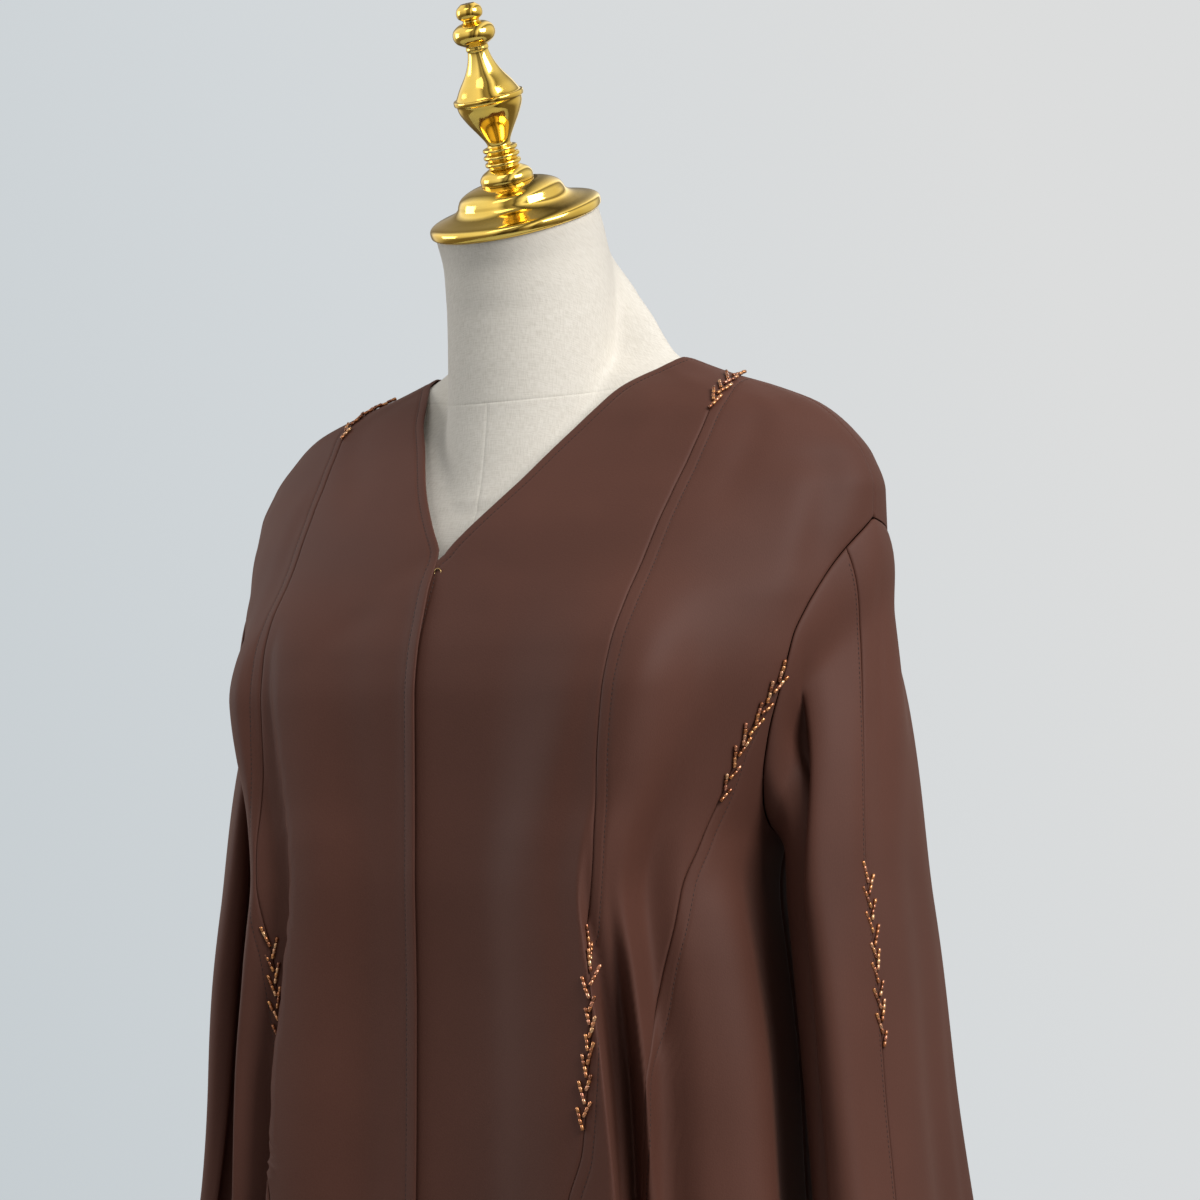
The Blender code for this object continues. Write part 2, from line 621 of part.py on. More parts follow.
def sleeve_points(turn, along):
    """Along the sleeve: 0 is the armhole, 1 the first level section, 2 the cuff."""
    turn, along = np.broadcast_arrays(np.asarray(turn, float), np.asarray(along, float))
    start = armhole_points(turn % 360)
    first = sleeve_ring(turn, np.full(turn.shape, SLEEVE_TOP))
    second = sleeve_ring(turn, np.full(turn.shape, SLEEVE_TOP - 0.02))
    down = first - second
    down = -down / np.linalg.norm(down, axis=-1, keepdims=True)
    reach = np.linalg.norm(first - start, axis=-1, keepdims=True)
    t = np.radians(turn)
    lean = np.stack([0.30 + 0.22 * np.cos(t) ** 2 - 0.1 * np.cos(2 * t), -0.10 * np.sin(t),
                     -np.ones_like(t)], axis=-1)
    under = np.stack([np.full_like(t, 0.75), np.zeros_like(t), np.full_like(t, -0.65)], axis=-1)
    share = bump(turn_between(turn, 180.0), 80.0)[..., None]
    leave = lean * (1 - share) + under * share
    leave = leave / np.linalg.norm(leave, axis=-1, keepdims=True)
    s = np.clip(along, 0, 1)[..., None]
    head = (start * (2 * s ** 3 - 3 * s ** 2 + 1) + reach * leave * (s ** 3 - 2 * s ** 2 + s)
            + first * (3 * s ** 2 - 2 * s ** 3) + reach * down * (s ** 3 - s ** 2))
    height = SLEEVE_TOP + (CUFF_HEIGHT - SLEEVE_TOP) * np.clip(along - 1, 0, None)
    return np.where(along[..., None] > 1, sleeve_ring(turn, height), head)


def sleeve_normals(turn, along):
    """Outward normals; at the armhole the body's own where both run on smoothly."""
    step_turn, step_along = 0.5, 0.01
    across = sleeve_points(turn + step_turn, along) - sleeve_points(turn - step_turn, along)
    down = (sleeve_points(turn, along + step_along)
            - sleeve_points(turn, np.maximum(along - step_along, 0)))
    normal = np.cross(across, down)
    normal = normal / np.linalg.norm(normal, axis=-1, keepdims=True)
    domain = armhole_domain(turn % 360)
    at_seam = surface_normals(body_points, domain[..., 0], domain[..., 1])
    agree = np.clip((np.sum(normal * at_seam, axis=-1) - 0.3) / 0.4, 0, 1)
    share = (np.clip(1 - along / 0.15, 0, 1) * agree)[..., None]
    mixed = normal * (1 - share) + at_seam * share
    return mixed / np.linalg.norm(mixed, axis=-1, keepdims=True)


def make_sleeve_piece(name, turns, side):
    head = np.linspace(0, 1, HEAD_ROWS + 1)
    lower = np.linspace(1, 2, SLEEVE_ROWS - HEAD_ROWS + 1)
    along = np.concatenate([head, lower[1:]])
    turn = np.array(turns, float)
    grid = np.stack(np.meshgrid(turn, along), axis=-1)
    cut = trim(grid, sleeve_points, ("bottom",))
    outer = sleeve_points(cut[..., 0], cut[..., 1])
    normal = sleeve_normals(cut[..., 0], cut[..., 1])
    inner = outer - WALL * normal
    if side < 0:
        outer, inner = mirrored(outer), mirrored(inner)
    add_wall(name, outer, inner)


def make_sleeves(side, word):
    turns = sorted(set(FRONT_TURNS + PANEL_TURNS + UNDER_TURNS + BACK_TURNS))
    front = [t for t in turns if SLEEVE_SEAM_TURN <= t <= 180]
    back = [t for t in turns if 180 <= t] + [t + 360 for t in turns if 0 < t <= SLEEVE_SEAM_TURN]
    make_sleeve_piece("sleeve_front_" + word, front, side)
    make_sleeve_piece("sleeve_back_" + word, back, side)


def lofted(name, rings, finish):
    """A closed solid through rings of points, capped flat at both ends."""
    work = bmesh.new()
    loops = [[work.verts.new(p) for p in ring] for ring in rings]
    for low, high in zip(loops, loops[1:]):
        for j in range(len(low)):
            k = (j + 1) % len(low)
            work.faces.new((low[j], low[k], high[k], high[j]))
    work.faces.new(loops[0][::-1])
    work.faces.new(loops[-1])
    mesh = bpy.data.meshes.new(name)
    work.to_mesh(mesh)
    work.free()
    tidy_mesh(mesh)
    return add_object(name, mesh, finish)


def form_ring(height, segments):
    """A section of the form: the torso's or the neck's, whichever reaches further."""
    t = np.radians(np.arange(segments) * 360 / segments)
    sine, cosine = np.sin(t), np.cos(t)
    side, depth = TORSO.at("side", height), TORSO.at("depth", height)
    power, middle = TORSO.at("power", height), TORSO.at("y", height)
    torso = (np.abs(sine / side) ** power + np.abs(cosine / depth) ** power) ** (-1 / power)
    neck_y = FORM_NECK.at("y", height)
    a, b = FORM_NECK.at("side", height), FORM_NECK.at("depth", height)
    shift = middle - neck_y
    square = (sine / a) ** 2 + (cosine / b) ** 2
    half = -shift * cosine / b ** 2
    neck = (-half + np.sqrt(half ** 2 - square * (shift ** 2 / b ** 2 - 1))) / square
    if height < FORM_NECK.along[0]:
        neck = np.zeros_like(torso)
    reach = (torso + neck + np.sqrt((torso - neck) ** 2 + JOIN_SOFTNESS ** 2)) / 2
    reach = np.where(height < FORM_NECK.along[0], torso, reach)
    lean = math.radians(float(FORM_NECK.at("lean", height)))
    x, y = reach * sine, middle - reach * cosine - neck_y
    return [(px, neck_y + py * math.cos(lean), height + py * math.sin(lean))
            for px, py in zip(x, y)]


def make_form():
    lofted("form_torso", [form_ring(h, FORM_SEGMENTS) for h in FORM_LEVELS], LINEN)


def turned(name, profile, start, lean, finish, segments=TURNED_SEGMENTS):
    """A turned solid on an axis that starts at a point and leans forwards."""
    rings = []
    for along, radius in profile:
        ring = []
        for j in range(segments):
            t = 2 * math.pi * j / segments
            x, y = radius * math.cos(t), radius * math.sin(t)
            ring.append((start[0] + x,
                         start[1] + y * math.cos(lean) - along * math.sin(lean),
                         start[2] + y * math.sin(lean) + along * math.cos(lean)))
        rings.append(ring)
    return lofted(name, rings, finish)


def along_neck(distance):
    return (NECK_TOP[0], NECK_TOP[1] - distance * math.sin(NECK_LEAN),
            NECK_TOP[2] + distance * math.cos(NECK_LEAN))


def make_stand():
    turned("neck_cap", CAP_PROFILE, along_neck(CLEARANCE), NECK_LEAN, GOLD, 36)
    cap_height = CAP_PROFILE[-1][0]
    turned("finial", FINIAL_PROFILE, along_neck(cap_height + 2 * CLEARANCE), NECK_LEAN, GOLD)
    turned("stand_base", BASE_PROFILE, (0, 0, 0), 0, GOLD, 48)
    pole = ((0.0, POLE_RADIUS), (FORM_BOTTOM - CLEARANCE - POLE_BOTTOM, POLE_RADIUS))
    turned("stand_pole", pole, (0, 0, POLE_BOTTOM), 0, GOLD)


def make_hook():
    """A wire ring in the gap at the top of the front edges."""
    rings, around, section = [], 14, 6
    work = bmesh.new()
    for i in range(around):
        t = 2 * math.pi * i / around
        ring = []
        for j in range(section):
            s = 2 * math.pi * j / section
            radius = HOOK_RADIUS + HOOK_WIRE * math.cos(s)
            ring.append(work.verts.new((HOOK_PLACE[0] + radius * math.cos(t),
                                        HOOK_PLACE[1] + HOOK_WIRE * math.sin(s),
                                        HOOK_PLACE[2] + radius * math.sin(t))))
        rings.append(ring)
    for i in range(around):
        one, two = rings[i], rings[(i + 1) % around]
        for j in range(section):
            k = (j + 1) % section
            work.faces.new((one[j], one[k], two[k], two[j]))
    mesh = bpy.data.meshes.new("front_hook")
    work.to_mesh(mesh)
    work.free()
    tidy_mesh(mesh)
    add_object("front_hook", mesh, STEEL)


def main():
    for thing in list(bpy.data.objects):
        bpy.data.objects.remove(thing)
    for side, word in ((1, "left"), (-1, "right")):
        make_fronts(side, word)
        make_sleeves(side, word)
    make_back()
    make_form()
    make_stand()
    make_hook()


main()
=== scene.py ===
import math

import bmesh
import bpy
import numpy as np
from mathutils import Matrix, Vector


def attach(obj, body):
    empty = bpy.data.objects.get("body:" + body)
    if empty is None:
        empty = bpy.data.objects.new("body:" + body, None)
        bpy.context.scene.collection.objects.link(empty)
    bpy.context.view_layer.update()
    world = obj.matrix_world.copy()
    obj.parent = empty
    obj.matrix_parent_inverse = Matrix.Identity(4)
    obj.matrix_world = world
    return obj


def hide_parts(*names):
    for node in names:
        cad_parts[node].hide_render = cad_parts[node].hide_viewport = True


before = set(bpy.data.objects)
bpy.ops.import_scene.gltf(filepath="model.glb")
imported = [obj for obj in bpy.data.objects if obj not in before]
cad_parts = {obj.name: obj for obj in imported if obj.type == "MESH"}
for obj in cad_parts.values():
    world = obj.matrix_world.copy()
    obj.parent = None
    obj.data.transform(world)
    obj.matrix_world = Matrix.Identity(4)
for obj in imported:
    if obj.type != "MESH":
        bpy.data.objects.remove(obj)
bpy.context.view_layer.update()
print("stage: frame loaded")


# Helpers that every piece uses

def linearColor(hexValue):
    # sRGB hex to the linear colour that a shader takes
    parts = [int(hexValue[i:i + 2], 16) / 255 for i in (1, 3, 5)]
    return tuple(c / 12.92 if c <= 0.04045 else ((c + 0.055) / 1.055) ** 2.4 for c in parts) + (1.0,)


def connect(tree, node, values):
    # sets inputs by socket name or number; a node or an output socket is linked instead
    for key, value in values.items():
        if isinstance(value, bpy.types.Node):
            value = value.outputs[0]
        if isinstance(value, bpy.types.NodeSocket):
            tree.links.new(value, node.inputs[key])
        else:
            node.inputs[key].default_value = value


def addNode(tree, kind, settings=None):
    # settings: the node's own attributes, and its inputs by socket name or number
    node = tree.nodes.new(kind)
    settings = settings or {}
    own = [key for key in settings if isinstance(key, str) and hasattr(node, key)]
    for key in own:
        setattr(node, key, settings[key])
    connect(tree, node, {key: value for key, value in settings.items() if key not in own})
    return node


def calc(tree, operation, *values):
    return addNode(tree, "ShaderNodeMath", {"operation": operation, **dict(enumerate(values))})


def noise(tree, place, scale, detail=2.0, roughness=0.5):
    return addNode(tree, "ShaderNodeTexNoise",
                   {"Scale": scale, "Detail": detail, "Roughness": roughness, "Vector": place})


def relief(tree, height, strength, distance):
    return addNode(tree, "ShaderNodeBump", {"Strength": strength, "Distance": distance, "Height": height})


def objectPlace(tree):
    return addNode(tree, "ShaderNodeTexCoord").outputs["Object"]


def newMaterial(name):
    made = bpy.data.materials.new(name)
    made.use_nodes = True
    tree = made.node_tree
    return made, tree, tree.nodes["Principled BSDF"]


def colorSteps(tree, source, steps):
    # a colour ramp over a factor; steps are (place, hex colour)
    ramp = addNode(tree, "ShaderNodeValToRGB", {"Fac": source})
    elements = ramp.color_ramp.elements
    for element, (place, color) in zip(elements, (steps[0], steps[-1])):
        element.position, element.color = place, linearColor(color)
    for place, color in steps[1:-1]:
        elements.new(place).color = linearColor(color)
    return ramp


def linkObject(name, data, material=None):
    made = bpy.data.objects.new(name, data)
    bpy.context.scene.collection.objects.link(made)
    if material:
        data.materials.append(material)
    return made


def turnOutward(mesh, recalculate=False):
    # smooth shading, and every face turned outward
    work = bmesh.new()
    work.from_mesh(mesh)
    if recalculate:
        bmesh.ops.recalc_face_normals(work, faces=work.faces[:])
    if work.calc_volume(signed=True) < 0:
        bmesh.ops.reverse_faces(work, faces=work.faces[:])
    work.to_mesh(mesh)
    work.free()
    mesh.shade_smooth()


def hermite(start, leave, end, arrive, t):
    return (start * (2 * t ** 3 - 3 * t ** 2 + 1) + leave * (t ** 3 - 2 * t ** 2 + t)
            + end * (3 * t ** 2 - 2 * t ** 3) + arrive * (t ** 3 - t ** 2))


class SmoothTable:
    # smooth curves through a table of named columns; the first column runs along the curve

    def __init__(self, columns, rows):
        data = np.array(sorted(rows), dtype=float)
        self.along = data[:, 0]
        steps = np.diff(self.along)
        self.values, self.slopes = {}, {}
        for i, name in enumerate(columns):
            values = data[:, i]
            rise = np.diff(values) / steps
            same = rise[:-1] * rise[1:] > 0
            safe = np.where(same, rise[:-1] + rise[1:], 1.0)
            middle = np.where(same, 2 * rise[:-1] * rise[1:] / safe, 0.0)
            self.values[name] = values
            self.slopes[name] = np.concatenate([rise[:1], middle, rise[-1:]])

    def at(self, name, place):
        place = np.clip(np.asarray(place, dtype=float), self.along[0], self.along[-1])
        row = np.clip(np.searchsorted(self.along, place) - 1, 0, len(self.along) - 2)
        step = self.along[row + 1] - self.along[row]
        t = (place - self.along[row]) / step
        return hermite(self.values[name][row], self.slopes[name][row] * step,
                       self.values[name][row + 1], self.slopes[name][row + 1] * step, t)


def bump(distance, breadth):
    return 0.5 + 0.5 * np.cos(np.pi * np.clip(np.abs(distance) / breadth, 0, 1))


def softStep(value):
    t = np.clip(value, 0, 1)
    return t * t * (3 - 2 * t)


def turnBetween(a, b):
    return (a - b + 180) % 360 - 180


# The cloak's body, as in the solids: level sections, flutes, edges and seams

cloakShape = {
    "bodyColumns": ("height", "side", "front", "back", "sideY", "frontPower", "backPower"),
    "body": [
        (0.035, 0.34, 0.262, 0.275, 0.0, 2.3, 2.2), (0.3, 0.3, 0.222, 0.235, 0.0, 2.4, 2.2),
        (0.55, 0.254, 0.192, 0.19, 0.0, 2.6, 2.2), (0.75, 0.211, 0.174, 0.154, 0.0, 2.9, 2.3),
        (0.86, 0.198, 0.167, 0.138, 0.0, 3.1, 2.3), (0.95, 0.195, 0.163, 0.128, 0.0, 3.2, 2.3),
        (1.02, 0.188, 0.161, 0.124, 0.0, 3.2, 2.3), (1.07, 0.182, 0.161, 0.124, 0.003, 3.2, 2.3),
        (1.1, 0.187, 0.16, 0.126, 0.005, 3.2, 2.3), (1.129, 0.199, 0.159, 0.129, 0.008, 3.0, 2.4),
        (1.165, 0.214, 0.158, 0.133, 0.011, 2.9, 2.5), (1.2, 0.229, 0.157, 0.136, 0.014, 2.7, 2.5),
        (1.23, 0.239, 0.152, 0.137, 0.016, 2.5, 2.5), (1.26, 0.243, 0.141, 0.137, 0.017, 2.4, 2.5),
        (1.285, 0.2475, 0.13, 0.136, 0.018, 2.15, 2.5), (1.312, 0.2515, 0.118, 0.134, 0.018, 1.9, 2.4),
        (1.336, 0.252, 0.102, 0.13, 0.019, 1.75, 2.3), (1.36, 0.2435, 0.084, 0.125, 0.021, 1.65, 2.2),
        (1.3795, 0.228, 0.067, 0.119, 0.023, 1.7, 2.2), (1.3975, 0.2065, 0.051, 0.113, 0.024, 1.8, 2.1),
        (1.412, 0.173, 0.037, 0.107, 0.026, 1.8, 2.0), (1.424, 0.137, 0.0215, 0.101, 0.026, 1.8, 2.0),
        (1.4375, 0.103, 0.0, 0.094, 0.026, 1.8, 2.0),
    ],
    # flutes: angle at the hem, lean, height of the start, depth at the hem, half breadth, growth
    "flutes": [
        (14.0, 0.0, 0.86, 0.012, 10.0, 1.0), (33.0, 0.0, 1.31, 0.015, 20.0, 0.1),
        (41.0, -2.0, 1.28, 0.019, 9.0, 0.15), (49.0, -3.0, 1.16, -0.034, 8.0, 0.45),
        (67.0, -3.0, 1.13, 0.044, 15.0, 0.5), (85.0, 0.0, 0.8, -0.024, 10.0, 1.0),
        (102.0, 0.0, 0.76, 0.036, 11.0, 1.0), (121.0, 0.0, 1.04, -0.028, 10.0, 0.9),
        (138.0, 0.0, 1.12, 0.04, 11.0, 0.9), (158.0, 0.0, 1.14, -0.024, 10.0, 0.9),
        (176.0, 0.0, 1.08, 0.034, 11.0, 1.0), (-12.0, 0.0, 0.8, 0.012, 10.0, 1.1),
        (-33.0, 0.0, 1.31, 0.015, 20.0, 0.1), (-40.5, 2.0, 1.28, 0.019, 9.0, 0.15),
        (-49.0, 3.0, 1.18, -0.034, 8.0, 0.45), (-66.0, 3.0, 1.13, 0.048, 14.0, 0.5),
        (-87.0, 0.0, 0.8, -0.024, 10.0, 1.0), (-106.0, 0.0, 0.78, 0.038, 12.0, 1.0),
        (-127.0, 0.0, 1.08, -0.026, 10.0, 0.9), (-146.0, 0.0, 1.1, 0.036, 11.0, 0.9),
        (-164.0, 0.0, 1.12, -0.022, 9.0, 0.9),
    ],
    "edgeColumns": ("height", "middle", "gap"),
    "edge": [
        (0.035, -0.008, 0.0003), (0.86, -0.007, 0.0003), (1.18, -0.006, 0.0003), (1.225, -0.0058, 0.0006),
        (1.245, -0.0056, 0.0013), (1.265, -0.0053, 0.003), (1.285, -0.0048, 0.0052), (1.302, -0.0043, 0.008),
    ],
    "neckColumns": ("height", "left", "right"),
    "neck": [
        (1.302, -0.0003, -0.0083), (1.3095, 0.0068, -0.013), (1.3402, 0.0325, -0.0345),
        (1.348, 0.0385, -0.0395), (1.3748, 0.0558, -0.0558), (1.3975, 0.0708, -0.0708),
        (1.4132, 0.0801, -0.0801), (1.4215, 0.088, -0.088), (1.429, 0.0965, -0.0965), (1.4375, 0.103, -0.103),
    ],
    "neckLevels": (1.4375, 1.4325, 1.424, 1.408, 1.38, 1.343, 1.302),
    "princess": [
        (0.035, 0.145), (0.5, 0.12), (0.75, 0.111), (0.86, 0.111), (0.905, 0.1185), (0.98, 0.121),
        (1.05, 0.122), (1.1, 0.126), (1.165, 0.131), (1.235, 0.137), (1.261, 0.1405), (1.312, 0.1456),
        (1.356, 0.1497), (1.3995, 0.152), (1.421, 0.147),
    ],
    "princessLevels": (1.421, 1.4165, 1.406, 1.38, 1.345, 1.308, 1.27),
    "curved": [
        (0.035, 46.0), (0.55, 44.5), (0.86, 43.0), (0.9366, 43.2), (0.971, 45.6), (1.0158, 49.3),
        (1.0467, 52.3), (1.0742, 54.6), (1.1014, 57.6), (1.1286, 59.3), (1.17, 60.5),
    ],
    "armhole": [
        (0.0, 1.316, 0.018), (15.0, 1.306, 0.004), (30.0, 1.2943, -0.01), (45.0, 1.2764, -0.027),
        (60.0, 1.2548, -0.044), (78.0, 1.233, -0.056), (95.0, 1.213, -0.06), (115.0, 1.185, -0.062),
        (135.0, 1.156, -0.058), (158.0, 1.125, -0.044), (170.0, 1.108, -0.022), (180.0, 1.1, 0.005),
        (202.0, 1.125, 0.046), (225.0, 1.16, 0.068), (250.0, 1.2, 0.082), (275.0, 1.235, 0.086),
        (300.0, 1.268, 0.08), (325.0, 1.296, 0.062), (345.0, 1.311, 0.04), (360.0, 1.316, 0.018),
    ],
    "frontTurns": (0, 15, 30, 45, 60, 78, 95), "panelTurns": (95, 105, 115, 125, 135, 145),
    "underTurns": (145, 158, 169, 180), "backTurns": (180, 202, 225, 250, 275, 300, 325, 345, 360),
    "hem": 0.035, "neckHeight": 1.4375, "neckRise": 0.009, "riseFrom": 1.36, "riseSpan": 0.0775,
    "shoulderMiddle": 1.421, "seamRows": 20, "chestSpan": 1.1, "fluteStart": 0.08,
    # above this height the curved seam bends to meet the armhole
    "curvedBlend": 1.165,
}
bodyTable = SmoothTable(cloakShape["bodyColumns"], cloakShape["body"])
edgeTable = SmoothTable(cloakShape["edgeColumns"], cloakShape["edge"])
neckTable = SmoothTable(cloakShape["neckColumns"], cloakShape["neck"])
princessTable = SmoothTable(("height", "x"), cloakShape["princess"])
curvedTable = SmoothTable(("height", "angle"), cloakShape["curved"])
armholeTable = SmoothTable(("turn", "height", "y"), cloakShape["armhole"])

# Creases laid on the body, each a stretch of soft trough or ridge: angle and height
# where it starts and ends, depth in mm (inwards is negative) and half its breadth in mm
bodyCreases = [
    (57.0, 1.424, 31.0, 1.336, 1.3, 13), (50.0, 1.419, 25.0, 1.34, -1.0, 11),
    (34.5, 1.405, 26.0, 1.35, 1.1, 10), (47.8, 1.36, 41.0, 1.292, 1.2, 14),
    (81.0, 1.411, 70.0, 1.398, -1.2, 9), (74.4, 1.352, 68.5, 1.285, -2.6, 15),
    (66.0, 1.335, 61.0, 1.262, 1.6, 14), (-3.0, 1.294, -19.0, 1.242, -1.1, 8),
    (-4.0, 1.284, -14.0, 1.262, 0.8, 6), (6.0, 1.296, 16.0, 1.276, -0.7, 7),
    (-57.0, 1.424, -31.0, 1.34, 1.2, 13), (-49.0, 1.415, -26.0, 1.345, -0.9, 11),
    (-74.0, 1.35, -68.0, 1.29, -2.4, 15), (-46.0, 1.35, -40.0, 1.28, 1.0, 13),
    (110.0, 1.33, 118.0, 1.23, -2.2, 17), (128.0, 1.345, 134.0, 1.25, 1.6, 18),
    (-108.0, 1.335, -117.0, 1.235, -2.4, 17), (-127.0, 1.35, -135.0, 1.245, 1.5, 18),
    (150.0, 1.41, 158.0, 1.33, 1.0, 16), (-152.0, 1.408, -157.0, 1.325, 1.1, 15),
    (172.0, 1.26, 168.0, 1.12, -1.4, 20), (-166.0, 1.25, -170.0, 1.11, 1.6, 22),
    (33.0, 1.06, 33.0, 0.035, 9.0, 34), (9.0, 1.06, 9.0, 0.035, -6.0, 40),
    (-30.0, 1.0, -30.0, 0.035, 6.0, 26),
    (40.5, 1.205, 37.0, 1.1, -3.2, 14), (47.0, 1.22, 41.0, 1.09, 2.2, 12), (55.0, 1.19, 47.0, 1.02, -2.4, 15),
    (-42.0, 1.335, -35.0, 1.235, -1.8, 9), (-52.0, 1.3, -44.0, 1.15, 2.0, 13),
    (-36.0, 1.18, -33.0, 1.02, -2.0, 12), (30.0, 1.25, 27.0, 1.12, 1.4, 11),
    (60.0, 1.385, 47.0, 1.33, -1.6, 10), (-63.0, 1.255, -53.0, 1.1, -12.0, 38),
    (22.0, 1.02, 20.0, 0.5, 1.8, 9), (-14.0, 0.98, -13.0, 0.45, -2.2, 14), (-22.0, 1.1, -21.0, 0.7, 1.6, 12),
]


def creaseOffset(angle, height):
    out = np.zeros_like(angle)
    across = 2.6    # mm of cloth to a degree, about, on the chest
    for angle0, height0, angle1, height1, depth, breadth in bodyCreases:
        along = np.array([(angle1 - angle0) * across, (height1 - height0) * 1000])
        length = np.hypot(*along)
        along = along / length
        dx, dz = turnBetween(angle, angle0) * across, (height - height0) * 1000
        run = dx * along[0] + dz * along[1]
        off = dx * along[1] - dz * along[0]
        t = np.clip(run / length, -0.4, 1.4)
        fade = softStep((t + 0.4) / 0.6) * softStep((1.4 - t) / 0.7)
        out = out + depth / 1000 * fade * np.exp(-(off / breadth) ** 2)
    return out


# Steep folds beside the princess seams, where each side gore falls back behind the front. The
# ridge rolls over sideways; depth, roll and the widths are in mm, and the angle is the ridge's
steepFolds = {
    "columns": ("height", "angle", "depth", "roll"),
    "near": [(0.035, 39.4, 34.0, 8.0), (0.6, 38.4, 44.0, 9.0), (0.873, 36.7, 50.0, 8.0),
             (0.93, 35.9, 48.0, 7.0), (0.98, 35.2, 41.0, 6.0), (1.013, 34.9, 28.0, 4.0),
             (1.053, 34.6, 12.0, 2.0), (1.09, 34.6, 4.0, 1.0), (1.15, 35.0, 0.0, 0.0)],
    "far": [(0.035, -33.5, 24.0, 5.0), (0.6, -32.5, 26.0, 5.0), (0.873, -31.4, 26.0, 4.0),
            (0.93, -31.0, 23.0, 4.0), (0.98, -30.6, 18.0, 3.0), (1.03, -30.2, 13.0, 2.5),
            (1.1, -29.6, 8.0, 2.0), (1.2, -29.0, 4.0, 1.0), (1.26, -29.0, 0.0, 0.0)],
    "mmPerDegree": 3.9, "wall": 8.0, "floor": 19.0, "recovery": 12.0, "rollBefore": 24.0, "rollAfter": 6.0,
}
foldTables = {1: SmoothTable(steepFolds["columns"], steepFolds["near"]),
              -1: SmoothTable(steepFolds["columns"], steepFolds["far"])}


def foldMoves(angle, height):
    # how far each point moves out of the cloth, and sideways, at the steep folds
    out, sideways = np.zeros_like(angle), np.zeros_like(angle)
    for side, table in foldTables.items():
        beyond = side * turnBetween(angle, table.at("angle", height)) * steepFolds["mmPerDegree"]
        recovered = softStep((beyond - steepFolds["floor"]) / steepFolds["recovery"])
        wall = softStep(beyond / steepFolds["wall"]) - recovered
        reach = np.where(beyond < 0, steepFolds["rollBefore"], steepFolds["rollAfter"])
        out = out - wall * table.at("depth", height) / 1000
        sideways = sideways + side * bump(beyond, reach) * table.at("roll", height) / 1000
    return out, sideways


def flutes(angle, height):
    out = np.zeros_like(angle)
    hem, span = cloakShape["hem"], cloakShape["chestSpan"]
    for place, lean, top, depth, breadth, growth in cloakShape["flutes"]:
        middle = place + lean * (height - hem) / span
        grown = np.clip((top - height) / (top - hem), 0, 1) ** growth
        begun = softStep((top - height) / cloakShape["fluteStart"])
        out = out + depth * grown * begun * bump(turnBetween(angle, middle), breadth)
    return out


def sectionAt(height, isFront):
    # the level section's half width, the y of its middle, its depth and its squareness
    sideY = bodyTable.at("sideY", height)
    depth = np.where(isFront, bodyTable.at("front", height) + sideY, bodyTable.at("back", height) - sideY)
    power = np.where(isFront, bodyTable.at("frontPower", height), bodyTable.at("backPower", height))
    return bodyTable.at("side", height), sideY, depth, power


def bodyPoints(angle, height):
    angle, height = np.broadcast_arrays(np.asarray(angle, float), np.asarray(height, float))
    a = np.radians(angle)
    sine, cosine = np.sin(a), np.cos(a)
    side, sideY, depth, power = sectionAt(height, cosine >= 0)
    k = (np.abs(sine) ** power + np.abs(cosine) ** power) ** (-1 / power)
    x, y = side * sine * k, -depth * cosine * k
    outX = np.sign(x) * np.abs(x / side) ** (power - 1) / side
    outY = np.sign(y) * np.abs(y / depth) ** (power - 1) / depth
    length = np.hypot(outX, outY)
    outX, outY = outX / length, outY / length
    folded, sideways = foldMoves(angle, height)
    out = flutes(angle, height) + creaseOffset(angle, height) + folded
    onNeck = np.clip((height - cloakShape["riseFrom"]) / cloakShape["riseSpan"], 0, 1)
    rise = cloakShape["neckRise"] * np.clip(-cosine, 0, 1) ** 2 * onNeck ** 2
    x = x + out * outX - sideways * outY
    y = y + out * outY + sideways * outX + sideY
    return np.stack([x, y, height + rise], axis=-1)


def frontAngle(x, height):
    power, side = bodyTable.at("frontPower", height), bodyTable.at("side", height)
    share = np.clip(np.abs(x) / side, 0, 1)
    rest = np.clip(1 - share ** power, 0, 1) ** (1 / power)
    return np.sign(x) * np.degrees(np.arctan2(share, rest))


def armholeDomain(turn):
    turn = np.asarray(turn, float)
    height, y = armholeTable.at("height", turn), armholeTable.at("y", turn)
    front = turn <= 180
    side, sideY, depth, power = sectionAt(height, front)
    ends = (turn <= 0) | (turn >= 360) | (turn == 180)
    share = np.clip(np.where(front, sideY - y, y - sideY) / depth, 0, 1)
    angle = np.degrees(np.arctan2((1 - share ** power) ** (1 / power), share))
    angle = np.where(front, angle, 180 - angle)
    return np.stack([np.where(ends, 90.0, angle), height], axis=-1)


# Seam lines as functions of a row number, which may lie between two of the solids' rows

def skirtSteps():
    t = np.linspace(0, 1, cloakShape["seamRows"] + 1)
    return 0.55 * t + 0.45 * t ** 2


def between(numbers, rowNumber):
    return np.interp(rowNumber, np.arange(len(numbers)), numbers)


def downToHem(levels):
    # the given heights, then those of the skirt's rows
    return np.concatenate([levels, (levels[-1] + (cloakShape["hem"] - levels[-1]) * skirtSteps())[1:]])


def princessLine(rowNumber):
    height = between(downToHem(cloakShape["princessLevels"]), rowNumber)
    angle = frontAngle(princessTable.at("x", height), height)
    return np.stack([np.where(rowNumber <= 0, 90.0, angle), height], axis=-1)


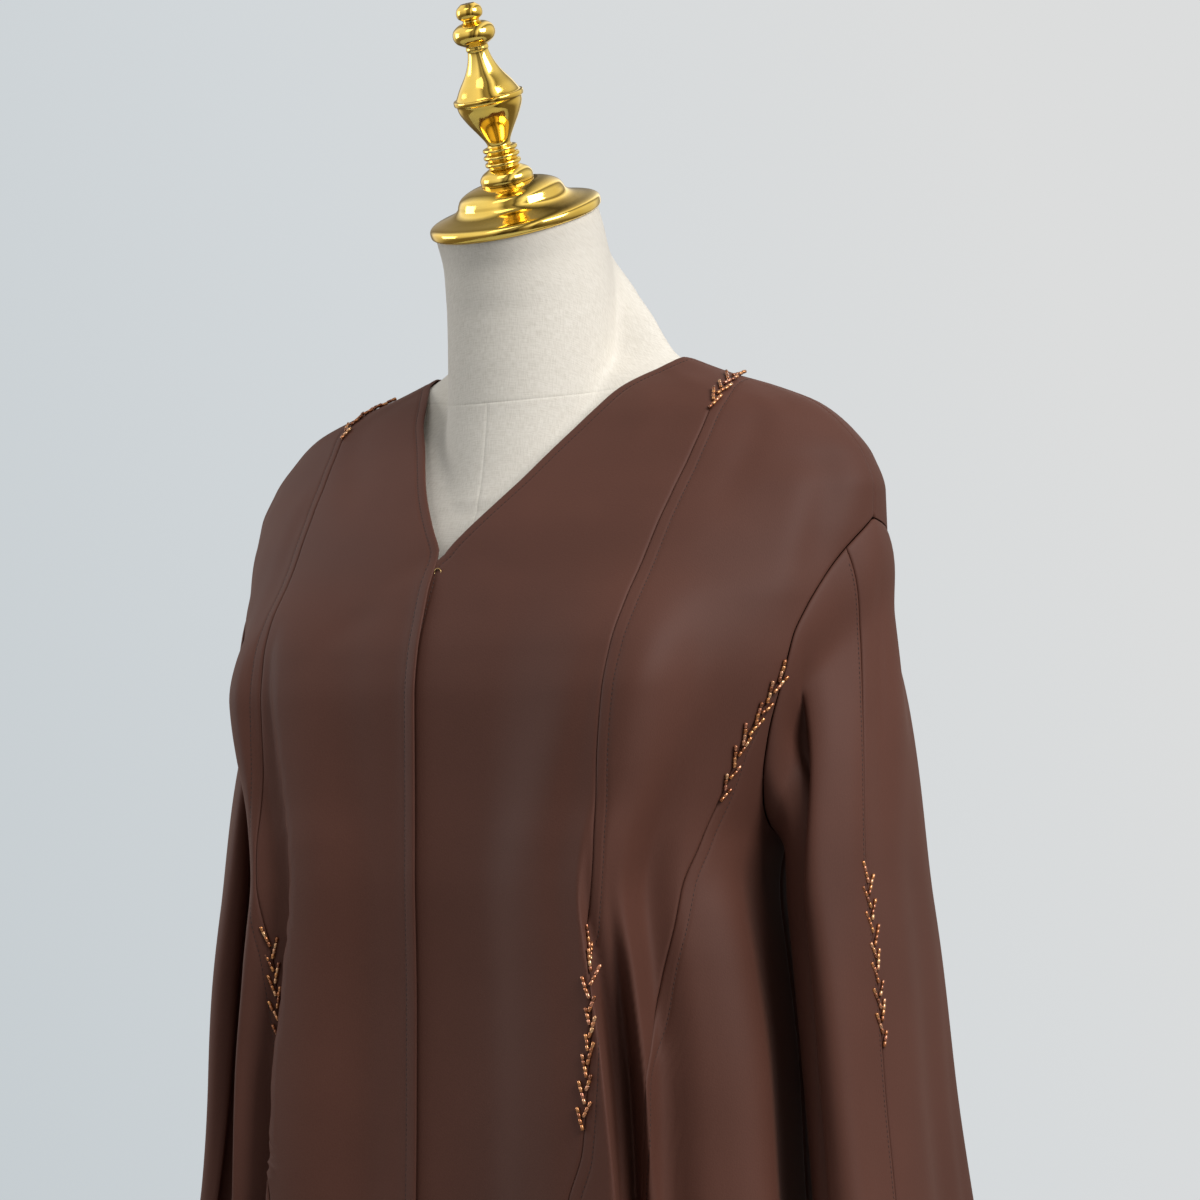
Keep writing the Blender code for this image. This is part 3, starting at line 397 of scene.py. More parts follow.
def edgeLine(rowNumber, side):
    height = between(downToHem(cloakShape["neckLevels"]), rowNumber)
    onNeck = height >= cloakShape["neckLevels"][-1]
    edge = edgeTable.at("middle", height) + side * edgeTable.at("gap", height) / 2
    if side > 0:
        under = softStep((fronts["underlapTop"] - height) / fronts["underlapReach"])
        edge = edge - fronts["underlap"] * under
    x = np.where(onNeck, neckTable.at("left" if side > 0 else "right", height), edge)
    angle = frontAngle(x, height)
    return np.stack([np.where(rowNumber <= 0, 90.0 * side, angle), height], axis=-1)


def outerFrontLine(rowNumber):
    # armhole down to its front, then the curved seam
    turns = cloakShape["frontTurns"]
    start = armholeDomain(turns[-1])
    levels = start[1] + (cloakShape["hem"] - start[1]) * skirtSteps()
    height = between(levels, rowNumber - (len(turns) - 1))
    low = cloakShape["curvedBlend"]
    blendIn = np.clip((height - low) / (start[1] - low), 0, 1)
    angle = curvedTable.at("angle", height)
    curved = np.stack([angle + (start[0] - angle) * blendIn, height], axis=-1)
    onArmhole = (rowNumber <= len(turns) - 1)[:, None]
    return np.where(onArmhole, armholeDomain(between(turns, rowNumber)), curved)


def sideSeamLevels():
    under = armholeDomain(cloakShape["underTurns"][-1])[1]
    count = cloakShape["seamRows"] - len(cloakShape["underTurns"]) + 1
    t = np.linspace(0, 1, count + 1)
    return under + (cloakShape["hem"] - under) * (0.6 * t + 0.4 * t ** 2)


def sidePanelLine(rowNumber):
    turns = cloakShape["underTurns"]
    height = between(sideSeamLevels(), rowNumber - (len(turns) - 1))
    onArmhole = (rowNumber <= len(turns) - 1)[:, None]
    return np.where(onArmhole, armholeDomain(between(turns, rowNumber)),
                    np.stack([np.full_like(height, 90.0), height], axis=-1))


def backLine(rowNumber):
    # counted from the neck: along the shoulder, round the back of the armhole and down the side seam
    below = sideSeamLevels()
    turns = cloakShape["backTurns"]
    top = armholeDomain(360.0)[1]
    shoulder = np.concatenate([np.linspace(cloakShape["neckHeight"], cloakShape["shoulderMiddle"], 8)[:-1],
                               np.linspace(cloakShape["shoulderMiddle"], top, 6)])
    last = len(shoulder) - 1
    onShoulder, onArmhole = rowNumber <= last, rowNumber <= last + len(turns) - 1
    ridge = np.stack([np.full_like(rowNumber, 90.0), between(shoulder, rowNumber)], axis=-1)
    arm = armholeDomain(between(turns[::-1], rowNumber - last))
    low = between(below, rowNumber - last - len(turns) + 1)
    seam = np.stack([np.full_like(rowNumber, 90.0), low], axis=-1)
    return np.where(onShoulder[:, None], ridge, np.where(onArmhole[:, None], arm, seam))


def flip(domain, side):
    return domain * np.array([side, 1.0])


# Cloth walls: a thin shell on each panel's form, rolled under at its seams and edges

crepeWall = {"thickness": 0.0011, "seamHalfGap": 0.00012, "seamRoll": 0.0022, "seamDip": 0.001,
             "edgeRoll": 0.0012, "edgeDip": 0.0005}
# every piece of cloth by the node it stands for, and its flat width, length and area in metres
clothPieces, cuts = {}, {}


def gridNormals(points):
    across = np.gradient(points, axis=1)
    along = np.gradient(points, axis=0)
    normal = np.cross(across, along)
    return normal / np.maximum(np.linalg.norm(normal, axis=-1, keepdims=True), 1e-12)


def distanceFrom(points, axis, fromEnd):
    steps = np.linalg.norm(np.diff(points, axis=axis), axis=-1)
    if fromEnd:
        steps = np.flip(steps, axis)
    run = np.cumsum(steps, axis)
    zero = np.zeros_like(np.take(run, [0], axis))
    run = np.concatenate([zero, run], axis)
    return np.flip(run, axis) if fromEnd else run


def meshFromGrids(name, outer, inner, uv):
    rows, columns = outer.shape[:2]
    points = np.concatenate([outer.reshape(-1, 3), inner.reshape(-1, 3)])
    index = np.arange(rows * columns).reshape(rows, columns)
    a, b, c, d = index[:-1, :-1], index[:-1, 1:], index[1:, 1:], index[1:, :-1]
    under = rows * columns
    faces = [np.stack([a, d, c, b], -1).reshape(-1, 4), np.stack([a, b, c, d], -1).reshape(-1, 4) + under]
    for line, reverse in ((index[0], False), (index[-1], True), (index[:, 0], True), (index[:, -1], False)):
        one, two = line[:-1], line[1:]
        strip = np.stack([one, two, two + under, one + under], -1)
        faces.append(strip[:, ::-1] if reverse else strip)
    faces = np.concatenate(faces)
    mesh = bpy.data.meshes.new(name)
    mesh.from_pydata(points.tolist(), [], faces.tolist())
    layer = mesh.uv_layers.new(name="clothUv")
    both = np.concatenate([uv.reshape(-1, 2), uv.reshape(-1, 2)])
    layer.data.foreach_set("uv", both[faces.reshape(-1)].astype(np.float32).ravel())
    turnOutward(mesh)
    return mesh


def clothPiece(node, points, seams, edges, center=(0.0, 0.0)):
    # seams: sides sewn to a neighbour; edges: sides turned under, such as a hem or the neck
    # front_center_left is named frontCenterLeftCrepe
    first, *rest = node.split("_")
    name = first + "".join(word.title() for word in rest) + "Crepe"
    out = outwardNormals(points, center)
    drop = np.zeros(points.shape[:2])
    shifts = np.zeros_like(points)
    places = {"left": (1, False), "right": (1, True), "top": (0, False), "bottom": (0, True)}
    for side, (axis, fromEnd) in places.items():
        distance = distanceFrom(points, axis, fromEnd)
        if side in seams:
            roll = np.clip(1 - distance / crepeWall["seamRoll"], 0, 1) ** 2
            drop = np.maximum(drop, crepeWall["seamDip"] * roll)
            line = np.take(points, -1 if fromEnd else 0, axis)
            inside = np.take(points, -2 if fromEnd else 1, axis)
            move = (inside - line) / np.maximum(np.linalg.norm(inside - line, axis=-1, keepdims=True), 1e-9)
            where = [slice(None), slice(None)]
            where[axis] = -1 if fromEnd else 0
            shifts[tuple(where)] += move * crepeWall["seamHalfGap"]
        elif side in edges:
            roll = np.clip(1 - distance / crepeWall["edgeRoll"], 0, 1) ** 2
            drop = np.maximum(drop, crepeWall["edgeDip"] * roll)
    outer = points + shifts - out * drop[..., None]
    inner = points + shifts - out * (crepeWall["thickness"] + 0.3 * drop)[..., None]
    width = distanceFrom(points, 1, False)
    length = distanceFrom(points, 0, False)
    uv = np.stack([width - width[:, width.shape[1] // 2][:, None], length], axis=-1)
    made = linkObject(name, meshFromGrids(name, outer, inner, uv), crepe)
    down, beside = points[1:, :-1] - points[:-1, :-1], points[:-1, 1:] - points[:-1, :-1]
    area = np.linalg.norm(np.cross(down, beside), axis=-1)
    cuts[node] = (math.ceil(width[:, -1].max() * 1000) / 1000, math.ceil(length.max() * 1000) / 1000,
                  float(area.sum()))
    clothPieces[node] = made
    print("cloth", name, "width %.3f length %.3f area %.4f" % cuts[node],
          len(made.data.polygons) * 2, "triangles")


# Crepe, dull side out: a fine polyester crepe, piece-dyed dark brown. The twisted yarns
# give a pebbled face that scatters light, with a faint bloom where it turns away

crepeLook = {"light": "#5f3b30", "deep": "#513127", "grainMm": 1.3, "threadMm": 0.9, "roughness": 0.62,
             "bloom": 0.06, "bloomTint": "#b9826c"}


def makeCrepe():
    made, tree, shader = newMaterial("dull crepe, piece dyed brown")
    uv = addNode(tree, "ShaderNodeUVMap", {"uv_map": "clothUv"})
    # slow drift of the dye, from 60 mm to 200 mm across
    drift = noise(tree, objectPlace(tree), 7.0, 3.0)
    # pebbles of twisted yarn; real ones are near 0.4 mm and are drawn coarser, so that they show
    pebble = noise(tree, uv, 1000 / crepeLook["grainMm"])
    stretched = {"Scale": (1000 / crepeLook["threadMm"], 120.0, 1.0), "Vector": uv}
    warp = noise(tree, addNode(tree, "ShaderNodeMapping", stretched), 1.0, 1.0)
    tone = calc(tree, "MULTIPLY", calc(tree, "MULTIPLY_ADD", pebble, 0.35, drift), 0.74)
    connect(tree, shader, {
        "Base Color": colorSteps(tree, tone, [(0.3, crepeLook["deep"]), (0.72, crepeLook["light"])]),
        "Normal": relief(tree, calc(tree, "MULTIPLY_ADD", warp, 0.5, pebble), 0.16, 0.0004),
        "Roughness": crepeLook["roughness"], "Specular IOR Level": 0.2, "Sheen Weight": crepeLook["bloom"],
        "Sheen Roughness": 0.45, "Sheen Tint": linearColor(crepeLook["bloomTint"])})
    return made


crepe = makeCrepe()


# Front panels, side panels and back

fronts = {"topstitch": 0.009, "hemTopstitch": 0.02, "neckTopstitch": 0.0062, "grooveDepth": 0.00055,
          "grooveWidth": 0.0011, "puff": 0.0005,
          # how the far front lies over the near one, and the near one runs on under it
          "overlapLift": 0.0034, "overlapReach": 0.016, "liftBlend": 0.03,
          "neckTop": 1.3, "neckBlend": 0.025, "underlap": 0.012, "underlapTop": 1.301, "underlapReach": 0.014,
          "rows": 26, "rowsPerStep": 9, "shoulderRows": 12, "backRowsPerStep": 7,
          "centerColumns": 24, "sideColumns": 46, "panelColumns": 22, "backColumns": 90,
          # how far the closest lines of the mesh lie from a seam
          "nearLines": [0.0, 0.0005, 0.0012, 0.0022, 0.0036, 0.0052, 0.0065, 0.0078, 0.009, 0.0102, 0.012]}


def rowNumbers(count, steps):
    # rows close together at both ends and at the hem's stitching
    top = [0.0, 0.008, 0.02, 0.04, 0.07]
    low = [count - x for x in (0.3, 0.26, 0.245, 0.23, 0.215, 0.2, 0.05, 0.03, 0.014, 0.006, 0.0)]
    inner = np.linspace(0.1, count - 0.34, int(count * steps))
    return np.concatenate([top, inner, low])


def straight(start, end):
    return lambda u: (1 - u[..., None]) * np.asarray(start) + u[..., None] * np.asarray(end)


def panelDomain(leftLine, rightLine, rows, columns, topLine=None):
    # every row has lines at the same true distances from both seams
    v = rows / rows[-1]
    left, right = leftLine(rows), rightLine(rows)
    topLine = topLine or straight(left[0], right[0])
    bottomLine = straight(left[-1], right[-1])

    def patch(u):
        corners = ((1 - v[:, None, None]) * ((1 - u[..., None]) * left[0] + u[..., None] * right[0])
                   + v[:, None, None] * ((1 - u[..., None]) * left[-1] + u[..., None] * right[-1]))
        return ((1 - u[..., None]) * left[:, None] + u[..., None] * right[:, None]
                + (1 - v[:, None, None]) * topLine(u) + v[:, None, None] * bottomLine(u) - corners)

    even = np.broadcast_to(np.linspace(0, 1, 41), (len(rows), 41))
    rough = patch(even)
    run = distanceFrom(bodyPoints(rough[..., 0], rough[..., 1]), 1, False)
    near = np.array(fronts["nearLines"])
    share = np.zeros((len(rows), 2 * len(near) + columns))
    for i in range(len(rows)):
        width = run[i, -1]
        scale = min(1.0, 0.3 * width / near[-1])
        inner = np.linspace(near[-1] * scale, width - near[-1] * scale, columns + 2)[1:-1]
        marks = np.concatenate([near * scale, inner, (width - near * scale)[::-1]])
        share[i] = np.interp(marks, run[i], even[i])
    return patch(share)


def grooveAt(distance, place):
    return fronts["grooveDepth"] * np.exp(-((distance - place) / fronts["grooveWidth"]) ** 2)


def stitchPlace(points, neck):
    # how far each row's topstitching lies from the edge: nearer to it round the neck
    below = (fronts["neckTop"] - points[:, -1:, 2]) / fronts["neckBlend"]
    share = softStep(below) if neck else np.ones((len(points), 1))
    return fronts["neckTopstitch"] + (fronts["topstitch"] - fronts["neckTopstitch"]) * share


def pickAlong(run, place, *fields):
    # the three values of each field where the run reaches the place
    return [[np.interp(place, run, field[:, k]) for k in range(3)] for field in fields]


def lineAtDistance(points, normals, place, fromEnd, start, stop):
    # the line at the given distance from the first or last column, with the surface's normals
    run = distanceFrom(points, 1, fromEnd)
    place = np.broadcast_to(place, (len(points), 1))
    order = slice(None, None, -1 if fromEnd else 1)
    found = [pickAlong(run[i, order], place[i, 0], points[i, order], normals[i, order])
             for i in range(start, stop)]
    return tuple(np.array(found).swapaxes(0, 1))


def rowAtDistance(points, normals, place):
    run = distanceFrom(points, 0, True)
    found = [pickAlong(run[::-1, j], place, points[::-1, j], normals[::-1, j])
             for j in range(points.shape[1])]
    return tuple(np.array(found).swapaxes(0, 1))


stitchLines = {"left": [], "right": [], "back": [], "sleeves": []}


def outwardNormals(points, center):
    out = gridNormals(points)
    away = points[..., :2] - np.asarray(center)
    return out * np.sign(np.sum(out[..., :2] * away))


def bodyPanel(node, domain, seams, edges, group, stitched=True, lift=0.0):
    # stitched: topstitching beside the right side; lift: how high that side lies over the other front
    points = bodyPoints(domain[..., 0], domain[..., 1])
    out = outwardNormals(points, (0.0, 0.0))
    drop = np.zeros(points.shape[:2])
    fromRight = distanceFrom(points, 1, True)
    if stitched:
        place = stitchPlace(points, "right" in edges)
        puffed = fronts["puff"] * bump(fromRight / place - 0.5, 0.5)
        drop = np.maximum(drop, grooveAt(fromRight, place)) - puffed
    drop = np.maximum(drop, grooveAt(distanceFrom(points, 0, True), fronts["hemTopstitch"]))
    if lift:
        onFront = softStep((fronts["neckTop"] - points[..., 2]) / fronts["liftBlend"])
        drop = drop - lift * softStep(1 - fromRight / fronts["overlapReach"]) * onFront
    shaped = points - out * drop[..., None]
    clothPiece(node, shaped, seams, edges)
    if stitched:
        stitchLines[group].append(lineAtDistance(shaped, out, place, True, 6, len(points) - 4))
    stitchLines[group].append(rowAtDistance(shaped, out, fronts["hemTopstitch"]))


def makeFronts(side, word):
    rows = rowNumbers(fronts["rows"], fronts["rowsPerStep"])
    princess = lambda r: flip(princessLine(r), side)
    edge = lambda r: edgeLine(r, side)
    outerLine = lambda r: flip(outerFrontLine(r), side)
    bodyPanel("front_center_" + word, panelDomain(princess, edge, rows, fronts["centerColumns"]),
              ("left", "top"), ("right", "bottom"), word, lift=fronts["overlapLift"] if side < 0 else 0.0)
    bodyPanel("front_side_" + word, panelDomain(outerLine, princess, rows, fronts["sideColumns"]),
              ("left", "right", "top"), ("bottom",), word)
    under = lambda r: flip(sidePanelLine(r), side)
    curved = lambda r: flip(outerFrontLine(r + len(cloakShape["frontTurns"]) - 1), side)
    turns = cloakShape["panelTurns"][::-1]
    top = lambda u: flip(armholeDomain(between(turns, u * (len(turns) - 1))), side)
    rows = rowNumbers(cloakShape["seamRows"], fronts["rowsPerStep"])
    bodyPanel("side_panel_" + word, panelDomain(under, curved, rows, fronts["panelColumns"], top),
              ("left", "right", "top"), ("bottom",), word)


def makeBack():
    count = fronts["shoulderRows"] + len(cloakShape["backTurns"]) - 1 + len(sideSeamLevels()) - 1
    rows = rowNumbers(count, fronts["backRowsPerStep"])
    right = lambda r: np.array([360.0, 0.0]) + backLine(r) * np.array([-1.0, 1.0])
    bodyPanel("back", panelDomain(backLine, right, rows, fronts["backColumns"]), ("left", "right"),
              ("top", "bottom"), "back", stitched=False)


for side, word in ((1, "left"), (-1, "right")):
    makeFronts(side, word)
makeBack()
print("stage: body of the cloak")


# Sleeves: from the armhole through level rings to the cuff

sleeves = {
    "columns": ("height", "x", "y", "halfX", "halfY"),
    "sections": [
        (0.79, 0.253, 0.02, 0.038, 0.098), (0.857, 0.2465, 0.02, 0.037, 0.091),
        (0.922, 0.2405, 0.02, 0.037, 0.089), (1.003, 0.2345, 0.02, 0.038, 0.089),
        (1.084, 0.227, 0.019, 0.037, 0.086), (1.128, 0.221, 0.018, 0.036, 0.082),
    ],
    "top": 1.055, "cuff": 0.79, "seamTurn": 30, "cuffTopstitch": 0.022, "seamTopstitch": 0.003,
    "middle": (0.235, 0.02), "frontFall": 0.24, "backFall": 0.1,
    # folds: turn round the arm, height of the start, depth at the cuff, half breadth
    "folds": [(345.0, 1.28, -0.007, 22.0), (60.0, 1.1, 0.008, 24.0), (112.0, 1.05, -0.009, 22.0),
              (195.0, 1.02, -0.006, 30.0), (255.0, 1.12, -0.01, 26.0), (300.0, 1.1, 0.009, 24.0)],
    # soft creases: turn, height where it is deepest, depth in mm, half breadth in degrees, half
    # length in mm, and how many degrees it turns in 100 mm
    "creases": [
        (20.0, 1.23, -2.0, 15.0, 90, 10), (52.0, 1.18, 1.2, 14.0, 80, -8), (85.0, 1.12, -1.6, 16.0, 70, 12),
        (330.0, 1.2, -1.6, 16.0, 80, -10), (300.0, 1.12, 1.4, 18.0, 80, 8),
        (265.0, 1.06, -2.0, 18.0, 70, 14), (120.0, 1.05, 1.4, 16.0, 70, -12),
        (215.0, 1.02, 1.5, 20.0, 80, 0), (110.0, 1.02, -30.0, 27.0, 200, 0),
        (100.0, 1.205, -18.0, 30.0, 62, 0), (6.0, 1.215, -8.0, 13.0, 110, 5),
        (36.0, 1.12, 3.0, 12.0, 150, 2), (62.0, 1.15, -4.0, 20.0, 110, -4),
        (-30.0, 1.245, -9.0, 26.0, 95, 2), (60.0, 1.235, -8.0, 30.0, 60, 0),
        (34.0, 1.215, -8.0, 24.0, 90, 0), (-50.0, 1.265, -4.0, 30.0, 50, 0),
    ],
    "farCreases": [(18.0, 0.84, -11.0, 50.0, 90, 0)],
}
sleeveTable = SmoothTable(sleeves["columns"], sleeves["sections"])


def sleeveRing(turn, height):
    t = np.radians(turn)
    middleX, middleY = sleeveTable.at("x", height), sleeveTable.at("y", height)
    halfX, halfY = sleeveTable.at("halfX", height), sleeveTable.at("halfY", height)
    out = np.zeros_like(t + height)
    for place, top, depth, breadth in sleeves["folds"]:
        grown = np.clip((top - height) / (top - sleeves["cuff"]), 0, 1)
        out = out + depth * grown * bump(turnBetween(turn, place), breadth)
    outX, outY = np.cos(t) / halfX, -np.sin(t) / halfY
    length = np.hypot(outX, outY)
    return np.stack([middleX + halfX * np.cos(t) + out * outX / length,
                     middleY - halfY * np.sin(t) + out * outY / length, height + 0 * t], axis=-1)


def sleevePoints(turn, along):
    # along: 0 is the armhole, 1 the first level ring, 2 the cuff
    domain = armholeDomain(turn % 360)
    start = bodyPoints(domain[..., 0], domain[..., 1])
    first = sleeveRing(turn, np.full(turn.shape, sleeves["top"]))
    second = sleeveRing(turn, np.full(turn.shape, sleeves["top"] - 0.02))
    down = second - first
    down = down / np.linalg.norm(down, axis=-1, keepdims=True)
    reach = np.linalg.norm(first - start, axis=-1, keepdims=True)
    t = np.radians(turn)
    # the front falls back behind its seam
    backward = np.where(np.sin(t) > 0, sleeves["frontFall"], -sleeves["backFall"]) * np.sin(t)
    lean = np.stack([0.3 + 0.22 * np.cos(t) ** 2 - 0.1 * np.cos(2 * t), backward, -np.ones_like(t)], axis=-1)
    under = np.stack([np.full_like(t, 0.75), np.zeros_like(t), np.full_like(t, -0.65)], axis=-1)
    share = bump(turnBetween(turn, 180.0), 80.0)[..., None]
    leave = lean * (1 - share) + under * share
    leave = leave / np.linalg.norm(leave, axis=-1, keepdims=True)
    s = np.clip(along, 0, 1)[..., None]
    head = hermite(start, reach * leave, first, reach * down, s)
    height = sleeves["top"] + (sleeves["cuff"] - sleeves["top"]) * np.clip(along - 1, 0, None)
    return np.where(along[..., None] > 1, sleeveRing(turn, height), head)


def sleeveCreases(points, turn, side):
    out = np.zeros(points.shape[:2])
    creases = sleeves["creases"] + (sleeves["farCreases"] if side < 0 else [])
    for place, height, depth, breadth, reach, twist in creases:
        fall = (height - points[..., 2]) * 10
        off = turnBetween(turn, place + twist * fall) / breadth
        run = (points[..., 2] - height) * 1000 / reach
        out = out + depth / 1000 * np.exp(-off ** 2 - run ** 2)
    return out


def makeSleevePiece(node, first, last, side):
    head = np.concatenate([[0.0, 0.004, 0.012, 0.025, 0.045], np.linspace(0.07, 1, 42)])
    low = np.concatenate([np.linspace(1, 1.9, 52)[1:],
                          [1.905, 1.912, 1.917, 1.922, 1.929, 1.95, 1.975, 1.99, 1.997, 2.0]])
    along = np.concatenate([head, low])
    count = int((last - first) / 4)
    edge = np.array([0.0, 0.35, 0.8, 1.5, 2.5])
    turn = np.concatenate([first + edge, np.linspace(first + 4, last - 4, count), last - edge[::-1]])
    grid = np.meshgrid(turn, along)
    points = sleevePoints(grid[0], grid[1])
    middle, mirror = sleeves["middle"], np.array([side, 1.0, 1.0])
    out = outwardNormals(points, middle)
    creased = sleeveCreases(points, grid[0], side)[..., None]
    points = points + out * creased * softStep(grid[1] / 0.25)[..., None]
    points = points - out * grooveAt(distanceFrom(points, 0, True), sleeves["cuffTopstitch"])[..., None]
    stitched = [rowAtDistance(points, out, sleeves["cuffTopstitch"])]
    if first == sleeves["seamTurn"]:
        stitched.append(lineAtDistance(points, out, sleeves["seamTopstitch"], False, 4, len(along) - 3))
    stitchLines["sleeves"] += [(line * mirror, facing * mirror) for line, facing in stitched]
    clothPiece(node, points * mirror, ("left", "right", "top"), ("bottom",), (side * middle[0], middle[1]))


for side, word in ((1, "left"), (-1, "right")):
    makeSleevePiece("sleeve_front_" + word, sleeves["seamTurn"], 180, side)
    makeSleevePiece("sleeve_back_" + word, 180, 360 + sleeves["seamTurn"], side)
print("stage: sleeves")


# Threads and beads: trees that follow a guide line lying on the cloth. The guide has an
# attribute surfaceNormal, so that what is laid on it faces out of the cloth

def newTree(name, sockets):
    tree = bpy.data.node_groups.new(name, "GeometryNodeTree")
    tree.interface.new_socket("Geometry", in_out="INPUT", socket_type="NodeSocketGeometry")
    for label, kind in sockets:
        tree.interface.new_socket(label, in_out="INPUT", socket_type="NodeSocket" + kind)
    tree.interface.new_socket("Geometry", in_out="OUTPUT", socket_type="NodeSocketGeometry")
    return tree, addNode(tree, "NodeGroupInput"), addNode(tree, "NodeGroupOutput")


def guideMesh(name, lines):
    # lines of points with the cloth's normals, as one mesh of edges
    points, facing, edges = [], [], []
    for line, out in lines:
        start = len(points)
        points.extend(line.tolist())
        facing.extend((out / np.linalg.norm(out, axis=-1, keepdims=True)).tolist())
        edges.extend((start + i, start + i + 1) for i in range(len(line) - 1))
    mesh = bpy.data.meshes.new(name)
    mesh.from_pydata(points, edges, [])
    mesh.attributes.new("surfaceNormal", "FLOAT_VECTOR", "POINT").data.foreach_set("vector", np.ravel(facing))
    return linkObject(name, mesh)


def runTree(guide, tree, values, name):
    # sets the inputs by their identifiers, evaluates once and keeps the result as a plain mesh
    modifier = guide.modifiers.new("follow", "NODES")
    modifier.node_group = tree
    for item in tree.interface.items_tree:
        if item.item_type == "SOCKET" and item.in_out == "INPUT" and item.name in values:
            modifier[item.identifier] = values[item.name]
    bpy.context.view_layer.update()
    mesh = bpy.data.meshes.new_from_object(guide.evaluated_get(bpy.context.evaluated_depsgraph_get()))
    guide.modifiers.remove(modifier)
    bpy.data.objects.remove(guide)
    mesh.name = name
    made = linkObject(name, mesh)
    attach(made, "root")
    print("laid", name, sum(len(p.vertices) - 2 for p in mesh.polygons), "triangles")
    return made


def aimed(tree, upward):
    # a turn whose Y runs along the guide and whose Z stands out of the cloth
    along = addNode(tree, "ShaderNodeVectorMath", {"operation": "SCALE", "Scale": -1.0 if upward else 1.0,
                                                   0: addNode(tree, "GeometryNodeInputTangent")})
    outward = addNode(tree, "GeometryNodeInputNamedAttribute",
                      {"data_type": "FLOAT_VECTOR", "Name": "surfaceNormal"}).outputs["Attribute"]
    first = addNode(tree, "FunctionNodeAlignRotationToVector", {"axis": "Y", "Vector": along})
    second = addNode(tree, "FunctionNodeAlignRotationToVector",
                     {"axis": "Z", "pivot_axis": "Y", "Rotation": first, "Vector": outward})
    return second, outward


def spacedPoints(tree, given, pitch):
    line = addNode(tree, "GeometryNodeMeshToCurve", {"Mesh": given["Geometry"]})
    return addNode(tree, "GeometryNodeResampleCurve", {"mode": "LENGTH", "Curve": line, "Length": pitch})


def finishTree(tree, end, geometry, material):
    dressed = addNode(tree, "GeometryNodeSetMaterial", {"Geometry": geometry, "Material": material})
    connect(tree, end, {"Geometry": dressed})
    return tree


# Polyester thread, spun, a shade deeper than the cloth: matt, with a soft sheen
threadLook = {"steps": [(0.35, "#21120e"), (0.65, "#35201a")], "roughness": 0.7}
threadMaterial, threadTree, threadShader = newMaterial("spun polyester thread, brown")
threadTwist = noise(threadTree, objectPlace(threadTree), 900.0, 1.0)
connect(threadTree, threadShader, {"Base Color": colorSteps(threadTree, threadTwist, threadLook["steps"]),
                                   "Roughness": threadLook["roughness"]})

stitching = {"stitchLength": 0.0024, "stitchGap": 0.0009, "threadWidth": 0.00062}


def makeStitchTree():
    tree, start, end = newTree("topstitchRun", [("stitchLength", "Float"), ("stitchGap", "Float"),
                                                ("threadWidth", "Float"), ("thread", "Material")])
    given = start.outputs
    spaced = spacedPoints(tree, given, calc(tree, "ADD", given["stitchLength"], given["stitchGap"]))
    turn, outward = aimed(tree, False)
    halfLength = calc(tree, "MULTIPLY", given["stitchLength"], 0.5)
    halfWidth = calc(tree, "MULTIPLY", given["threadWidth"], 0.5)
    size = addNode(tree, "ShaderNodeCombineXYZ", {"X": halfWidth, "Y": halfLength, "Z": halfWidth})
    ball = addNode(tree, "GeometryNodeMeshUVSphere", {"Segments": 6, "Rings": 5, "Radius": 1.0})
    thread = addNode(tree, "GeometryNodeTransform", {"Geometry": ball, "Scale": size})
    laid = addNode(tree, "GeometryNodeInstanceOnPoints",
                   {"Points": spaced, "Instance": thread, "Rotation": turn})
    real = addNode(tree, "GeometryNodeRealizeInstances", {"Geometry": laid})
    return finishTree(tree, end, real, given["thread"])


stitchTree = makeStitchTree()
for group, lines in stitchLines.items():
    sewn = runTree(guideMesh("guide" + group, lines), stitchTree, {**stitching, "thread": threadMaterial},
                   "topstitching" + group.title())
    sewn.data.shade_smooth()
print("stage: topstitching")


# Bead strands: short cut glass tubes with a copper lining, sewn on in slanting strokes
# that run down to the seam from both sides in turn

beads = {"beadLength": 0.0037, "radius": 0.00125, "hole": 0.00045, "sides": 10,
         "strokeSpacing": 0.0079, "strokeAngle": 0.34, "beadGap": 0.00015, "beadsPerStroke": 4, "seed": 7}


def sweptRing(name, profile, steps, place=(0.0, 0.0, 0.0)):
    # a closed profile of (radius, y) swept round an axis along y
    t = 2 * math.pi * np.arange(steps) / steps
    radius, y = np.array(profile)[:, :1], np.array(profile)[:, 1:]
    points = np.stack([radius * np.cos(t), y + 0 * t, radius * np.sin(t)], -1) + np.array(place)
    index = np.arange(len(profile) * steps).reshape(len(profile), steps)
    beside, after = np.roll(index, -1, axis=1), np.roll(index, -1, axis=0)
    faces = np.stack([index, beside, np.roll(after, -1, axis=1), after], -1)
    mesh = bpy.data.meshes.new(name)
    mesh.from_pydata(points.reshape(-1, 3).tolist(), [], faces.reshape(-1, 4).tolist())
    turnOutward(mesh, True)
    return mesh


def makeBead():
    half, outer, hole = beads["beadLength"] / 2, beads["radius"], beads["hole"]
    profile = [(hole, -half * 0.94), (hole, half * 0.94), (outer * 0.72, half), (outer * 0.98, half * 0.84),
               (outer, 0.0), (outer * 0.98, -half * 0.84), (outer * 0.72, -half)]
    return linkObject("beadShape", sweptRing("beadShape", profile, beads["sides"]))


